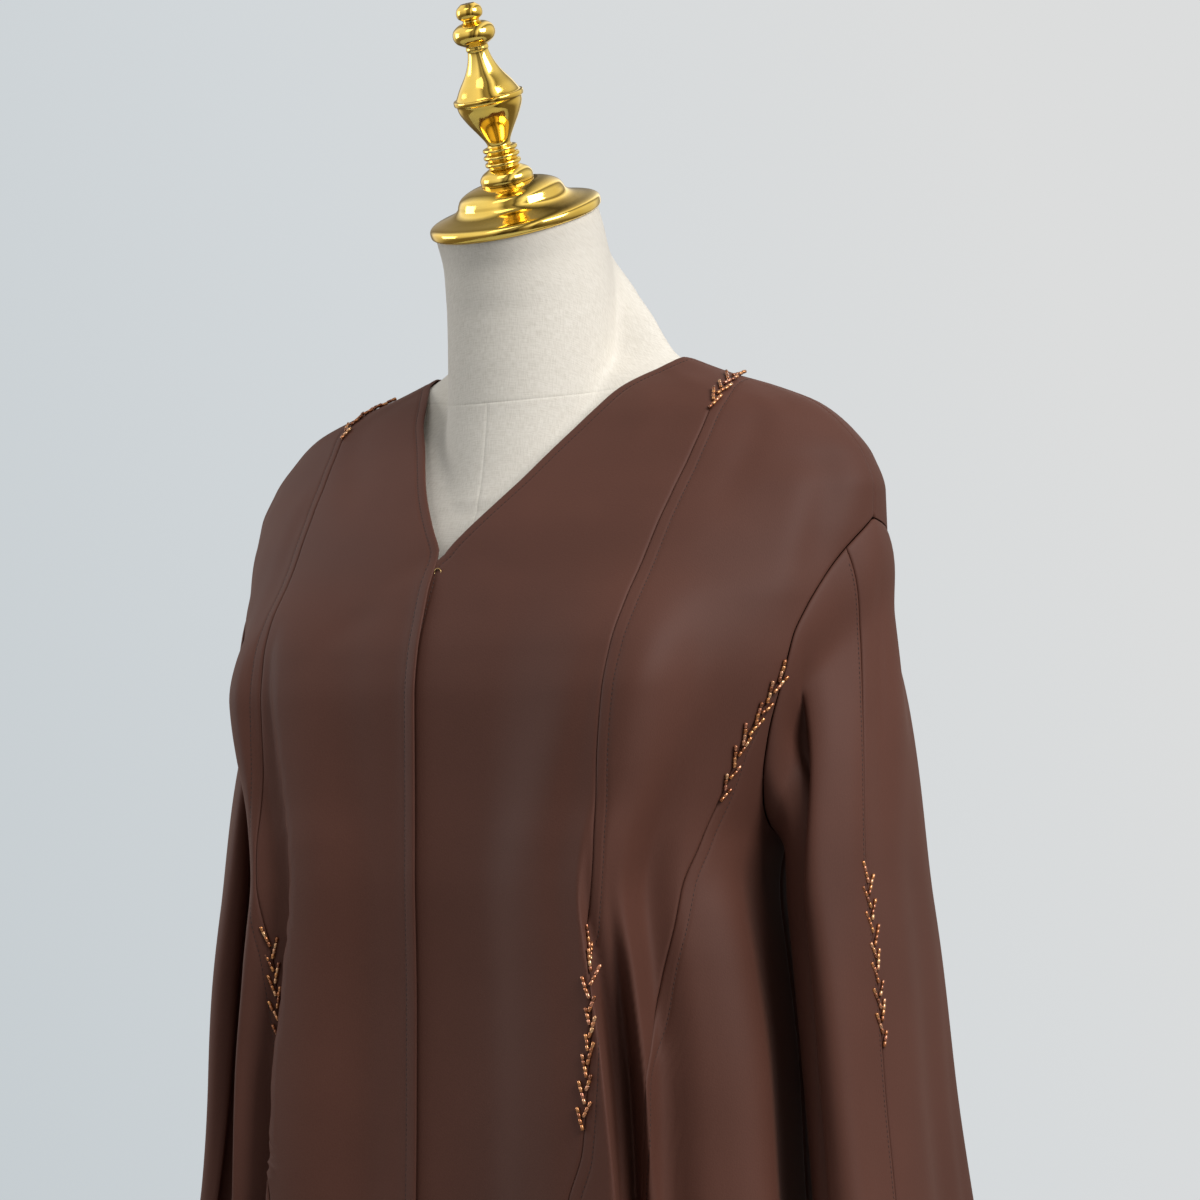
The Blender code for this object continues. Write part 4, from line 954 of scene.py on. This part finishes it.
# Copper-lined glass: a warm metal seen through clear glass, so bright and a little pink at the glints
beadMaterial, beadNodes, beadShader = newMaterial("copper lined glass tube beads")
beadTone = addNode(beadNodes, "ShaderNodeAttribute", {"attribute_name": "beadTone"}).outputs["Fac"]
beadSteps = [(0.0, "#7a4428"), (0.3, "#a8663a"), (0.55, "#c98a52"), (0.8, "#b5745a"), (1.0, "#d9a878")]
connect(beadNodes, beadShader, {
    "Base Color": colorSteps(beadNodes, beadTone, beadSteps), "Metallic": 0.75, "Roughness": 0.24,
    "Normal": relief(beadNodes, noise(beadNodes, objectPlace(beadNodes), 1400.0, 1.0), 0.25, 0.0002),
    "Coat Weight": 0.6, "Coat Roughness": 0.06})


def makeBeadTree():
    tree, start, end = newTree("beadStrand", [
        ("strokeSpacing", "Float"), ("strokeAngle", "Float"), ("beadLength", "Float"), ("beadGap", "Float"),
        ("beadLift", "Float"), ("beadsPerStroke", "Int"), ("seed", "Int"), ("bead", "Object"),
        ("glass", "Material")])
    given = start.outputs

    def chance(kind, settings=None):
        return addNode(tree, "FunctionNodeRandomValue",
                       {"data_type": kind, "Seed": given["seed"], **(settings or {})})

    spaced = spacedPoints(tree, given, given["strokeSpacing"])
    turn, outward = aimed(tree, True)
    lifted = addNode(tree, "ShaderNodeVectorMath",
                     {"operation": "SCALE", 0: outward, "Scale": given["beadLift"]})
    raised = addNode(tree, "GeometryNodeSetPosition", {"Geometry": spaced, "Offset": lifted})
    bead = addNode(tree, "GeometryNodeObjectInfo", {"Object": given["bead"]}).outputs["Geometry"]
    pitch = calc(tree, "ADD", given["beadLength"], given["beadGap"])
    along = addNode(tree, "ShaderNodeCombineXYZ", {"Y": pitch})
    first = addNode(tree, "ShaderNodeCombineXYZ", {"Y": calc(tree, "MULTIPLY", given["beadLength"], 0.45)})
    fewer = calc(tree, "ADD", given["beadsPerStroke"], -1.0)
    choices = addNode(tree, "GeometryNodeJoinGeometry")
    for count in (given["beadsPerStroke"], given["beadsPerStroke"], fewer):
        row = addNode(tree, "GeometryNodeMeshLine",
                      {"mode": "OFFSET", "Count": count, "Start Location": first, "Offset": along})
        stroke = addNode(tree, "GeometryNodeInstanceOnPoints", {"Points": row, "Instance": bead})
        connect(tree, choices, {0: addNode(tree, "GeometryNodeGeometryToInstance", {"Geometry": stroke})})
    # left and right in turn, each a little off
    odd = calc(tree, "MODULO", addNode(tree, "GeometryNodeInputIndex"), 2.0)
    sign = calc(tree, "MULTIPLY_ADD", odd, -2.0, 1.0)
    sway = chance("FLOAT", {2: -0.1, 3: 0.1}).outputs[1]
    swung = calc(tree, "MULTIPLY_ADD", sign, given["strokeAngle"], sway)
    slant = addNode(tree, "ShaderNodeCombineXYZ", {"Z": swung})
    aim = addNode(tree, "FunctionNodeRotateRotation", {"rotation_space": "LOCAL", 0: turn, 1: slant})
    pick = chance("INT", {4: 0, 5: 2}).outputs[2]
    laid = addNode(tree, "GeometryNodeInstanceOnPoints", {
        "Points": raised, "Instance": choices, "Pick Instance": True, "Instance Index": pick,
        "Rotation": aim})
    real = addNode(tree, "GeometryNodeRealizeInstances", {"Geometry": laid})
    island = {"ID": addNode(tree, "GeometryNodeInputMeshIsland").outputs["Island Index"]}
    tone = chance("FLOAT", island).outputs[1]
    toned = addNode(tree, "GeometryNodeStoreNamedAttribute", {
        "data_type": "FLOAT", "domain": "POINT", "Name": "beadTone", "Geometry": real, "Value": tone})
    nudge = chance("FLOAT_VECTOR", {**island, 0: (-0.00025,) * 3, 1: (0.00025,) * 3}).outputs[0]
    moved = addNode(tree, "GeometryNodeSetPosition", {"Geometry": toned, "Offset": nudge})
    return finishTree(tree, end, moved, given["glass"])


def onBody(domain):
    points = bodyPoints(domain[:, 0], domain[:, 1])
    across = bodyPoints(domain[:, 0] + 0.05, domain[:, 1]) - bodyPoints(domain[:, 0] - 0.05, domain[:, 1])
    along = bodyPoints(domain[:, 0], domain[:, 1] + 0.0002) - bodyPoints(domain[:, 0], domain[:, 1] - 0.0002)
    out = np.cross(across, along)
    return points, out / np.linalg.norm(out, axis=-1, keepdims=True)


def runAlong(points):
    return np.concatenate([[0], np.cumsum(np.linalg.norm(np.diff(points, axis=0), axis=-1))])


def cutLine(points, normals, start, length):
    # the stretch of a line from one distance along it, for a length
    marks = np.linspace(start, start + length, max(8, int(length / 0.002)))
    return tuple(np.array(pickAlong(runAlong(points), marks, points, normals)).swapaxes(1, 2))


def heightStart(points, height):
    # how far along a downward line the given height lies
    return float(np.interp(-height, -points[:, 2], runAlong(points)))


# each strand starts at a height, or so far down its seam, and runs on for its length
strands = {
    "princess": {"top": 1.034, "length": 0.118}, "armhole": {"start": 0.01, "length": 0.088},
    "sleeve": {"top": 1.071, "length": 0.108}, "shoulder": {"start": 0.014, "length": 0.05},
}


def strandLines(side):
    lines = []

    def add(name, points, normals):
        strand = strands[name]
        start = strand["start"] if "start" in strand else heightStart(points, strand["top"])
        lines.append(cutLine(points, normals, start, strand["length"]))

    rows = fronts["rows"]
    points, out = onBody(flip(princessLine(np.linspace(0, rows, 900)), side))
    add("princess", points, out)
    add("shoulder", points, out)
    below = len(cloakShape["frontTurns"]) - 1
    add("armhole", *onBody(flip(outerFrontLine(np.linspace(below, rows, 900)), side)))
    along = np.linspace(0, 2, 500)
    turn = np.full_like(along, sleeves["seamTurn"])
    points = sleevePoints(turn, along)
    beside = sleevePoints(turn + 1.0, along) - sleevePoints(turn - 1.0, along)
    out = np.cross(beside, np.gradient(points, axis=0))
    mirror = np.array([side, 1.0, 1.0])
    add("sleeve", points * mirror, out / np.linalg.norm(out, axis=-1, keepdims=True) * mirror)
    # every normal is turned to face away from the body's axis
    away = [np.sign(facing[:, 0] * line[:, 0] + facing[:, 1] * line[:, 1] + 0.3 * facing[:, 2])
            for line, facing in lines]
    return [(line, facing * turned[:, None]) for (line, facing), turned in zip(lines, away)]


beadShape = makeBead()
beadTree = makeBeadTree()
for side, word in ((1, "left"), (-1, "right")):
    runTree(guideMesh("strandGuide" + word, strandLines(side)), beadTree, {
        **beads, "beadLift": beads["radius"] * 0.95, "seed": beads["seed"] + (side < 0), "bead": beadShape,
        "glass": beadMaterial}, "beadStrands" + word.title())
bpy.data.objects.remove(beadShape)
print("stage: beads")


# The dress form: torso and leaning neck as in the solids, covered in linen, with its seams

dressForm = {
    "torsoColumns": ("height", "side", "y", "depth", "power"),
    "torso": [
        (0.705, 0.148, 0.008, 0.098, 2.3), (0.712, 0.156, 0.008, 0.106, 2.3),
        (0.74, 0.162, 0.008, 0.111, 2.3), (0.83, 0.164, 0.009, 0.114, 2.3),
        (0.93, 0.146, 0.004, 0.104, 2.3), (1.03, 0.118, -0.004, 0.086, 2.2),
        (1.11, 0.132, -0.016, 0.102, 2.2), (1.19, 0.15, -0.022, 0.12, 2.2),
        (1.25, 0.165, -0.014, 0.112, 2.2), (1.3, 0.18, 0.0, 0.102, 2.2), (1.342, 0.189, 0.01, 0.088, 2.1),
        (1.3735, 0.19, 0.016, 0.072, 2.0), (1.3955, 0.182, 0.021, 0.058, 1.9),
        (1.4107, 0.162, 0.023, 0.05, 1.8), (1.4227, 0.13, 0.024, 0.045, 1.7),
        (1.432, 0.1045, 0.026, 0.04, 1.7), (1.44, 0.092, 0.028, 0.036, 1.7),
        (1.448, 0.085, 0.029, 0.034, 1.7), (1.463, 0.074, 0.03, 0.033, 1.7),
        (1.477, 0.062, 0.03, 0.03, 1.8), (1.497, 0.048, 0.02, 0.03, 2.0), (1.536, 0.03, -0.02, 0.03, 2.0),
    ],
    "neckColumns": ("height", "side", "depth", "y", "lean"),
    "neck": [
        (1.33, 0.045, 0.05, -0.032, 0.0), (1.37, 0.055, 0.055, -0.02, 0.0),
        (1.407, 0.06, 0.06, -0.01, 0.0),
        (1.43, 0.06, 0.0605, -0.009, 2.0), (1.448, 0.06, 0.0605, -0.009, 6.0),
        (1.477, 0.0595, 0.06, -0.0105, 12.0), (1.497, 0.0585, 0.0595, -0.014, 17.0),
        (1.517, 0.0575, 0.059, -0.0185, 20.0), (1.536, 0.0575, 0.0585, -0.0275, 22.0),
    ],
    "softness": 0.006, "columns": 160, "frontRadius": 0.075, "bottom": 0.705, "top": 1.536,
    "seamWidth": 0.0007, "seamDepth": 0.00028, "neckSeam": 1.416, "neckSeamDip": 0.0085,
}
torsoTable = SmoothTable(dressForm["torsoColumns"], dressForm["torso"])
neckFormTable = SmoothTable(dressForm["neckColumns"], dressForm["neck"])


def formPoints(turn, height):
    # turn 0 is the front
    t = np.radians(turn)
    sine, cosine = np.sin(t), np.cos(t)
    side, depth = torsoTable.at("side", height), torsoTable.at("depth", height)
    power, middle = torsoTable.at("power", height), torsoTable.at("y", height)
    torso = (np.abs(sine / side) ** power + np.abs(cosine / depth) ** power) ** (-1 / power)
    neckY = neckFormTable.at("y", height)
    a, b = neckFormTable.at("side", height), neckFormTable.at("depth", height)
    shift = middle - neckY
    square = (sine / a) ** 2 + (cosine / b) ** 2
    half = -shift * cosine / b ** 2
    neck = (-half + np.sqrt(half ** 2 - square * (shift ** 2 / b ** 2 - 1))) / square
    reach = (torso + neck + np.sqrt((torso - neck) ** 2 + dressForm["softness"] ** 2)) / 2
    below = height < neckFormTable.along[0]
    reach = np.where(below, torso, reach)
    lean = np.radians(neckFormTable.at("lean", height))
    x, y = reach * sine, middle - reach * cosine - neckY
    return np.stack([x, neckY + y * np.cos(lean), height + y * np.sin(lean)], axis=-1)


def neckSeamHeight(turn):
    # the seam round the base of the neck dips a little at the front
    t = np.radians(turn)
    return dressForm["neckSeam"] - dressForm["neckSeamDip"] * np.cos(t) - 0.003 * np.cos(2 * t)


def makeFormMesh():
    near = np.array([-0.003, -0.0016, -0.0009, -0.0004, 0.0, 0.0004, 0.0009, 0.0016, 0.003])
    even = np.linspace(0, 360, dressForm["columns"], endpoint=False)
    even = even[(even > 3) & (even < 357)]
    # round the front a degree is about 1.3 mm
    radius, clear = dressForm["frontRadius"], 0.004
    turn = np.concatenate([np.degrees(near / radius)[4:], even, 360 + np.degrees(near / radius)[:4]])
    bottom, top, seam = dressForm["bottom"], dressForm["top"], neckSeamHeight(turn)
    rows = [bottom + (seam - clear - bottom) * share for share in (np.linspace(0, 1, 120) ** 0.8)[:-1]]
    rows += [seam + step for step in near]
    rows += [seam + clear + (top - seam - clear) * share for share in np.linspace(0, 1, 60)[1:]]
    height = np.array(rows)
    turns = np.broadcast_to(turn, height.shape)
    points = formPoints(turns, height)
    wide = np.concatenate([points[:, -1:], points, points[:, :1]], axis=1)
    out = gridNormals(wide)[:, 1:-1]
    out = out * np.sign(np.sum(out[..., :2] * points[..., :2]))
    fromSeam = np.exp(-((height - seam) / dressForm["seamWidth"]) ** 2)
    fromFront = np.exp(-(turnBetween(turns, 0.0) * radius * math.pi / 180 / dressForm["seamWidth"]) ** 2)
    fromFront = fromFront * (height < seam + 0.0005)
    points = points - out * (dressForm["seamDepth"] * np.maximum(fromSeam, fromFront))[..., None]
    return points, turns


def closedTube(name, points, uv, material):
    # rings of points joined round and capped at both ends
    rows, columns = points.shape[:2]
    index = np.arange(rows * columns).reshape(rows, columns)
    nextIndex = np.roll(index, -1, axis=1)
    faces = np.stack([index[:-1], nextIndex[:-1], nextIndex[1:], index[1:]], -1).reshape(-1, 4).tolist()
    faces += [index[0][::-1].tolist(), index[-1].tolist()]
    mesh = bpy.data.meshes.new(name)
    mesh.from_pydata(points.reshape(-1, 3).tolist(), [], faces)
    if uv is not None:
        sides = np.stack([uv[:-1, :-1], uv[:-1, 1:], uv[1:, 1:], uv[1:, :-1]], 2).reshape(-1, 2)
        corners = np.concatenate([sides, uv[0, :-1][::-1], uv[-1, :-1]])
        mesh.uv_layers.new(name="clothUv").data.foreach_set("uv", corners.astype(np.float32).ravel())
    turnOutward(mesh)
    mesh.set_sharp_from_angle(angle=math.radians(35))
    return linkObject(name, mesh, material)


# Linen, plain weave, unbleached: slubby yarns about 0.5 mm thick, drawn near 0.7 mm so that they show
linenLook = {"light": "#ebe4d8", "deep": "#d9d1c3", "yarnMm": 0.7, "slubMm": 6.0, "roughness": 0.85}


def makeLinen():
    made, tree, shader = newMaterial("plain weave linen, unbleached")
    uv = addNode(tree, "ShaderNodeUVMap", {"uv_map": "clothUv"})
    yarns = []
    thick, long = 1000 / linenLook["yarnMm"], 1000 / linenLook["slubMm"]
    for scale in ((thick, long, 1.0), (long, thick, 1.0)):
        place = addNode(tree, "ShaderNodeMapping", {"Scale": scale, "Vector": uv})
        yarns.append(noise(tree, place, 1.0, 2.0, 0.6))
    tone = calc(tree, "MULTIPLY", calc(tree, "ADD", *yarns), 0.5)
    connect(tree, shader, {
        "Base Color": colorSteps(tree, tone, [(0.36, linenLook["deep"]), (0.6, linenLook["light"])]),
        "Normal": relief(tree, tone, 0.3, 0.0004), "Roughness": linenLook["roughness"],
        "Specular IOR Level": 0.25, "Sheen Weight": 0.12, "Sheen Roughness": 0.5})
    return made


formGrid, formTurns = makeFormMesh()
formRun = distanceFrom(formGrid, 0, False)
formAround = np.radians(np.concatenate([formTurns, formTurns[:, :1] + 360], 1)) * dressForm["frontRadius"]
formUv = np.stack([formAround, np.concatenate([formRun, formRun[:, :1]], 1)], -1)
formPiece = closedTube("linenForm", formGrid, formUv, makeLinen())
print("stage: dress form")


# Metalwork: cast and turned brass, polished and gold plated; bright, with dark reflections

def makeGold(name, roughness, brushed):
    made, tree, shader = newMaterial(name)
    place = objectPlace(tree)
    smears = noise(tree, place, 35.0, 3.0)
    spread = {"To Min": roughness, "To Max": roughness + 0.07, "Value": smears}
    connect(tree, shader, {
        "Base Color": colorSteps(tree, smears, [(0.3, "#efc65a"), (0.7, "#fad871")]),
        "Roughness": addNode(tree, "ShaderNodeMapRange", spread),
        "Normal": relief(tree, noise(tree, place, 140.0), brushed, 0.0006), "Metallic": 1.0})
    return made


polishedGold = makeGold("gold plated brass, polished", 0.07, 0.1)
satinGold = makeGold("gold plated steel, spun", 0.2, 0.15)

metalwork = {
    "segments": 96, "lean": 22.0, "neckTop": (0.0, -0.0275, 1.536), "clearance": 0.0003,
    # profiles: distance along the axis, radius
    "cap": [
        (0.0, 0.0595), (0.0015, 0.061), (0.005, 0.0612), (0.007, 0.06), (0.0085, 0.057), (0.0105, 0.05),
        (0.013, 0.043), (0.016, 0.039), (0.0195, 0.0375), (0.023, 0.035), (0.0262, 0.029), (0.0285, 0.0205),
    ],
    "finial": [(0.0, 0.0185), (0.004, 0.0187), (0.0075, 0.0165), (0.01, 0.0125), (0.0115, 0.0105),
               (0.013, 0.0125), (0.015, 0.0125), (0.0165, 0.0103), (0.018, 0.0125), (0.02, 0.0125),
               (0.0215, 0.01), (0.023, 0.012), (0.025, 0.012), (0.0265, 0.0085), (0.03, 0.009),
               (0.036, 0.0125), (0.045, 0.0182), (0.053, 0.0222), (0.058, 0.0232), (0.059, 0.0246),
               (0.062, 0.0246), (0.063, 0.0226), (0.07, 0.0185), (0.078, 0.013), (0.086, 0.0092),
               (0.093, 0.0074), (0.095, 0.008), (0.0975, 0.0078), (0.0985, 0.0095), (0.101, 0.0132),
               (0.105, 0.015), (0.1095, 0.014), (0.1125, 0.0105), (0.114, 0.0065), (0.1155, 0.006),
               (0.1175, 0.0085), (0.1205, 0.0093), (0.124, 0.0083), (0.1268, 0.005)],
    "base": [(0.0, 0.1685), (0.0015, 0.17), (0.007, 0.17), (0.0095, 0.168), (0.012, 0.156), (0.016, 0.12),
             (0.02, 0.08), (0.023, 0.048), (0.0255, 0.03), (0.0302, 0.024)],
    "poleRadius": 0.0125, "poleBottom": 0.0305, "poleTop": 0.7047,
}


def smoothProfile(profile, parts=6):
    # a rounded line through the profile's points, with small steps
    points = np.array(profile)
    padded = np.concatenate([[2 * points[0] - points[1]], points, [2 * points[-1] - points[-2]]])
    found = []
    for i in range(1, len(padded) - 2):
        a, b, c, d = padded[i - 1:i + 3]
        for t in np.linspace(0, 1, parts, endpoint=False):
            found.append(0.5 * (2 * b + (c - a) * t + (2 * a - 5 * b + 4 * c - d) * t ** 2
                                + (3 * b - a - 3 * c + d) * t ** 3))
    found.append(points[-1])
    return np.array(found)


def turnedPiece(name, profile, start, lean, material, rounded=True):
    rings = smoothProfile(profile) if rounded else np.array(profile)
    t = np.linspace(0, 2 * math.pi, metalwork["segments"], endpoint=False)
    lean = math.radians(lean)
    along, radius = rings[:, 0:1], rings[:, 1:2]
    x, y = radius * np.cos(t), radius * np.sin(t)
    points = np.stack([start[0] + x, start[1] + y * math.cos(lean) - along * math.sin(lean),
                       start[2] + y * math.sin(lean) + along * math.cos(lean)], -1)
    return closedTube(name, points, None, material)


def alongNeck(distance):
    lean = math.radians(metalwork["lean"])
    x, y, z = metalwork["neckTop"]
    return (x, y - distance * math.sin(lean), z + distance * math.cos(lean))


lean, clearance = metalwork["lean"], metalwork["clearance"]
capPiece = turnedPiece("neckCapGold", metalwork["cap"], alongNeck(clearance), lean, polishedGold)
capTop = alongNeck(metalwork["cap"][-1][0] + 2 * clearance)
finialPiece = turnedPiece("finialGold", metalwork["finial"], capTop, lean, polishedGold)
basePiece = turnedPiece("standBaseGold", metalwork["base"], (0, 0, 0), 0, satinGold)
poleLength = metalwork["poleTop"] - metalwork["poleBottom"]
poleProfile = [(0.0, metalwork["poleRadius"]), (poleLength, metalwork["poleRadius"])]
polePiece = turnedPiece("standPoleGold", poleProfile, (0, 0, metalwork["poleBottom"]), 0, satinGold, False)


# Front hook: bent from plated wire, small, its plating dulled
hook = {"place": (-0.0046, -0.1288, 1.285), "radius": 0.0026, "wire": 0.00045, "around": 40, "section": 14,
        "color": "#a3875a"}


def makeHook():
    material, tree, shader = newMaterial("bronze plated steel wire")
    spread = addNode(tree, "ShaderNodeMapRange",
                     {"To Min": 0.18, "To Max": 0.34, "Value": noise(tree, objectPlace(tree), 700.0)})
    connect(tree, shader, {"Roughness": spread, "Base Color": linearColor(hook["color"]), "Metallic": 1.0})
    s = 2 * math.pi * np.arange(hook["section"]) / hook["section"]
    profile = np.stack([hook["radius"] + hook["wire"] * np.cos(s), hook["wire"] * np.sin(s)], -1)
    ring = sweptRing("frontHookWire", profile, hook["around"], hook["place"])
    return linkObject("frontHookWire", ring, material)


hookPiece = makeHook()
print("stage: metalwork")


# What each piece stands for: each goes under the root, and the solid it replaces is hidden
stands = {"form_torso": (formPiece, "linen"), "neck_cap": (capPiece, "gold"), "finial": (finialPiece, "gold"),
          "stand_base": (basePiece, "gold"), "stand_pole": (polePiece, "gold"),
          "front_hook": (hookPiece, "steel")}
for node, (piece, slotName) in stands.items():
    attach(piece, "root")
    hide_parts(node)
# the cuts are given without seam and hem turnings
for node, piece in clothPieces.items():
    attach(piece, "root")
    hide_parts(node)


# Floor, light and camera

studio = {
    "floor": "#c6cacc", "floorRadius": 2.2, "azimuth": 32.0,
    # painted light on the backdrop: lighter along the picture, from its left to its right, as if the lamps on
    # the right lit the wall
    "backdropPaintedLightSteps": [(0.41, "#c6cdd1"), (0.5, "#d2d7da"), (0.59, "#dcdddd")],
    "dimSteps": [(0.0, "#3a3c3e"), (0.45, "#7c8083"), (0.62, "#b8bdc1"), (1.0, "#eef2f5")],
    "dimStrength": 0.46, "shinyStrength": 1.5,
    # what polished metal reflects, from one side to the other, and from the floor up
    "streakSteps": [
        (0.0, "#c9c9c9"), (0.22, "#e0e0e0"), (0.33, "#6e6a62"), (0.44, "#8f8b84"), (0.49, "#3c3830"),
        (0.56, "#b9b6b0"), (0.63, "#ffffff"), (0.7, "#77736a"), (0.85, "#cfcfcf"), (1.0, "#c4c4c4"),
    ],
    "levelSteps": [
        (0.0, "#5f564a"), (0.35, "#7b7265"), (0.47, "#d8d4cc"), (0.7, "#ffffff"), (1.0, "#e8e8e8"),
    ],
    # name, place, target, side and watts
    "softboxes": [("keySoftbox", (2.2, -0.55, 2.7), (0.05, 0.0, 1.12), 1.4, 68),
                  ("frontSoftbox", (-0.2, -1.9, 3.6), (0.0, 0.0, 1.4), 1.2, 8),
                  ("fillSoftbox", (-2.8, -1.0, 2.0), (0.0, 0.0, 1.2), 1.4, 25)],
}


def makeFloor():
    material, tree, shader = newMaterial("painted studio floor")
    connect(tree, shader, {"Base Color": linearColor(studio["floor"]), "Roughness": 0.9})
    mesh = bpy.data.meshes.new("studioFloor")
    turns = [2 * math.pi * i / 64 for i in range(64)]
    ring = [(studio["floorRadius"] * math.cos(t), studio["floorRadius"] * math.sin(t), -0.001) for t in turns]
    mesh.from_pydata(ring, [], [tuple(range(64))])
    return linkObject("studioFloor", mesh, material)


makeFloor()


def makeWorld():
    # a pale backdrop for the camera, with painted light making it lighter to the right, a dim room for the
    # cloth, and a room with windows and dark corners for the polished metal to reflect; all of it by
    # direction, far away
    world = bpy.data.worlds.new("studio")
    bpy.context.scene.world = world
    world.use_nodes = True
    tree = world.node_tree
    tree.nodes.clear()
    place = objectPlace(tree)
    a = math.radians(studio["azimuth"])

    def ranged(axis, steps):
        # a ramp over how far a direction points along the axis, from -1 to 1
        along = addNode(tree, "ShaderNodeVectorMath", {"operation": "DOT_PRODUCT", 0: place, 1: axis})
        spread = {"From Min": -1.0, "From Max": 1.0, "Value": along.outputs["Value"]}
        return colorSteps(tree, addNode(tree, "ShaderNodeMapRange", spread), steps)

    def shade(color, strength):
        return addNode(tree, "ShaderNodeBackground", {"Strength": strength, "Color": color})

    across, upward = (math.cos(a), math.sin(a), 0.0), (0.0, 0.0, 1.0)
    tilted = (math.cos(a) * 0.93, math.sin(a) * 0.93, 0.37)
    room = addNode(tree, "ShaderNodeVectorMath", {
        "operation": "MULTIPLY", 0: ranged(across, studio["streakSteps"]),
        1: ranged(upward, studio["levelSteps"])})
    rays = addNode(tree, "ShaderNodeLightPath").outputs
    lit = addNode(tree, "ShaderNodeMixShader", {
        0: rays["Is Glossy Ray"], 1: shade(ranged(upward, studio["dimSteps"]), studio["dimStrength"]),
        2: shade(room, studio["shinyStrength"])})
    seen = addNode(tree, "ShaderNodeMixShader", {
        0: rays["Is Camera Ray"], 1: lit, 2: shade(ranged(tilted, studio["backdropPaintedLightSteps"]), 1.0)})
    addNode(tree, "ShaderNodeOutputWorld", {"Surface": seen})


makeWorld()
for name, place, target, size, power in studio["softboxes"]:
    light = bpy.data.lights.new(name, "AREA")
    light.shape, light.size, light.size_y, light.energy = "RECTANGLE", size, size, power
    softbox = linkObject(name, light)
    softbox.location = place
    softbox.rotation_euler = (Vector(target) - Vector(place)).to_track_quat("-Z", "Y").to_euler()

shot = {"azimuth": 32.0, "distance": 2.6, "height": 1.129, "focal": 3692.0, "axisX": 545.0, "horizonY": 800.0,
        "roll": 1.2, "pixels": 1200.0}


def makeCamera():
    a, roll = math.radians(shot["azimuth"]), math.radians(shot["roll"])
    middle = shot["pixels"] / 2
    yaw = math.atan((middle - shot["axisX"]) / shot["focal"])
    pitch = math.atan((shot["horizonY"] - middle) / shot["focal"])
    forward0, right0 = Vector((-math.sin(a), math.cos(a), 0)), Vector((math.cos(a), math.sin(a), 0))
    up = Vector((0, 0, 1))
    forward1 = forward0 * math.cos(yaw) + right0 * math.sin(yaw)
    right1 = right0 * math.cos(yaw) - forward0 * math.sin(yaw)
    forward = forward1 * math.cos(pitch) + up * math.sin(pitch)
    up1 = up * math.cos(pitch) - forward1 * math.sin(pitch)
    right = right1 * math.cos(roll) - up1 * math.sin(roll)
    upward = right1 * math.sin(roll) + up1 * math.cos(roll)
    data = bpy.data.cameras.new("shotCamera")
    data.sensor_width = 36.0
    data.lens = shot["focal"] * data.sensor_width / shot["pixels"]
    data.clip_end = 60.0
    camera = linkObject("shotCamera", data)
    place = Vector((math.sin(a) * shot["distance"], -math.cos(a) * shot["distance"], shot["height"]))
    rows = [[right[i], upward[i], -forward[i], place[i]] for i in range(3)] + [[0, 0, 0, 1]]
    camera.matrix_world = Matrix(rows)
    bpy.context.scene.camera = camera


makeCamera()
bpy.context.scene.view_settings.view_transform = "Standard"
print("stage: studio")
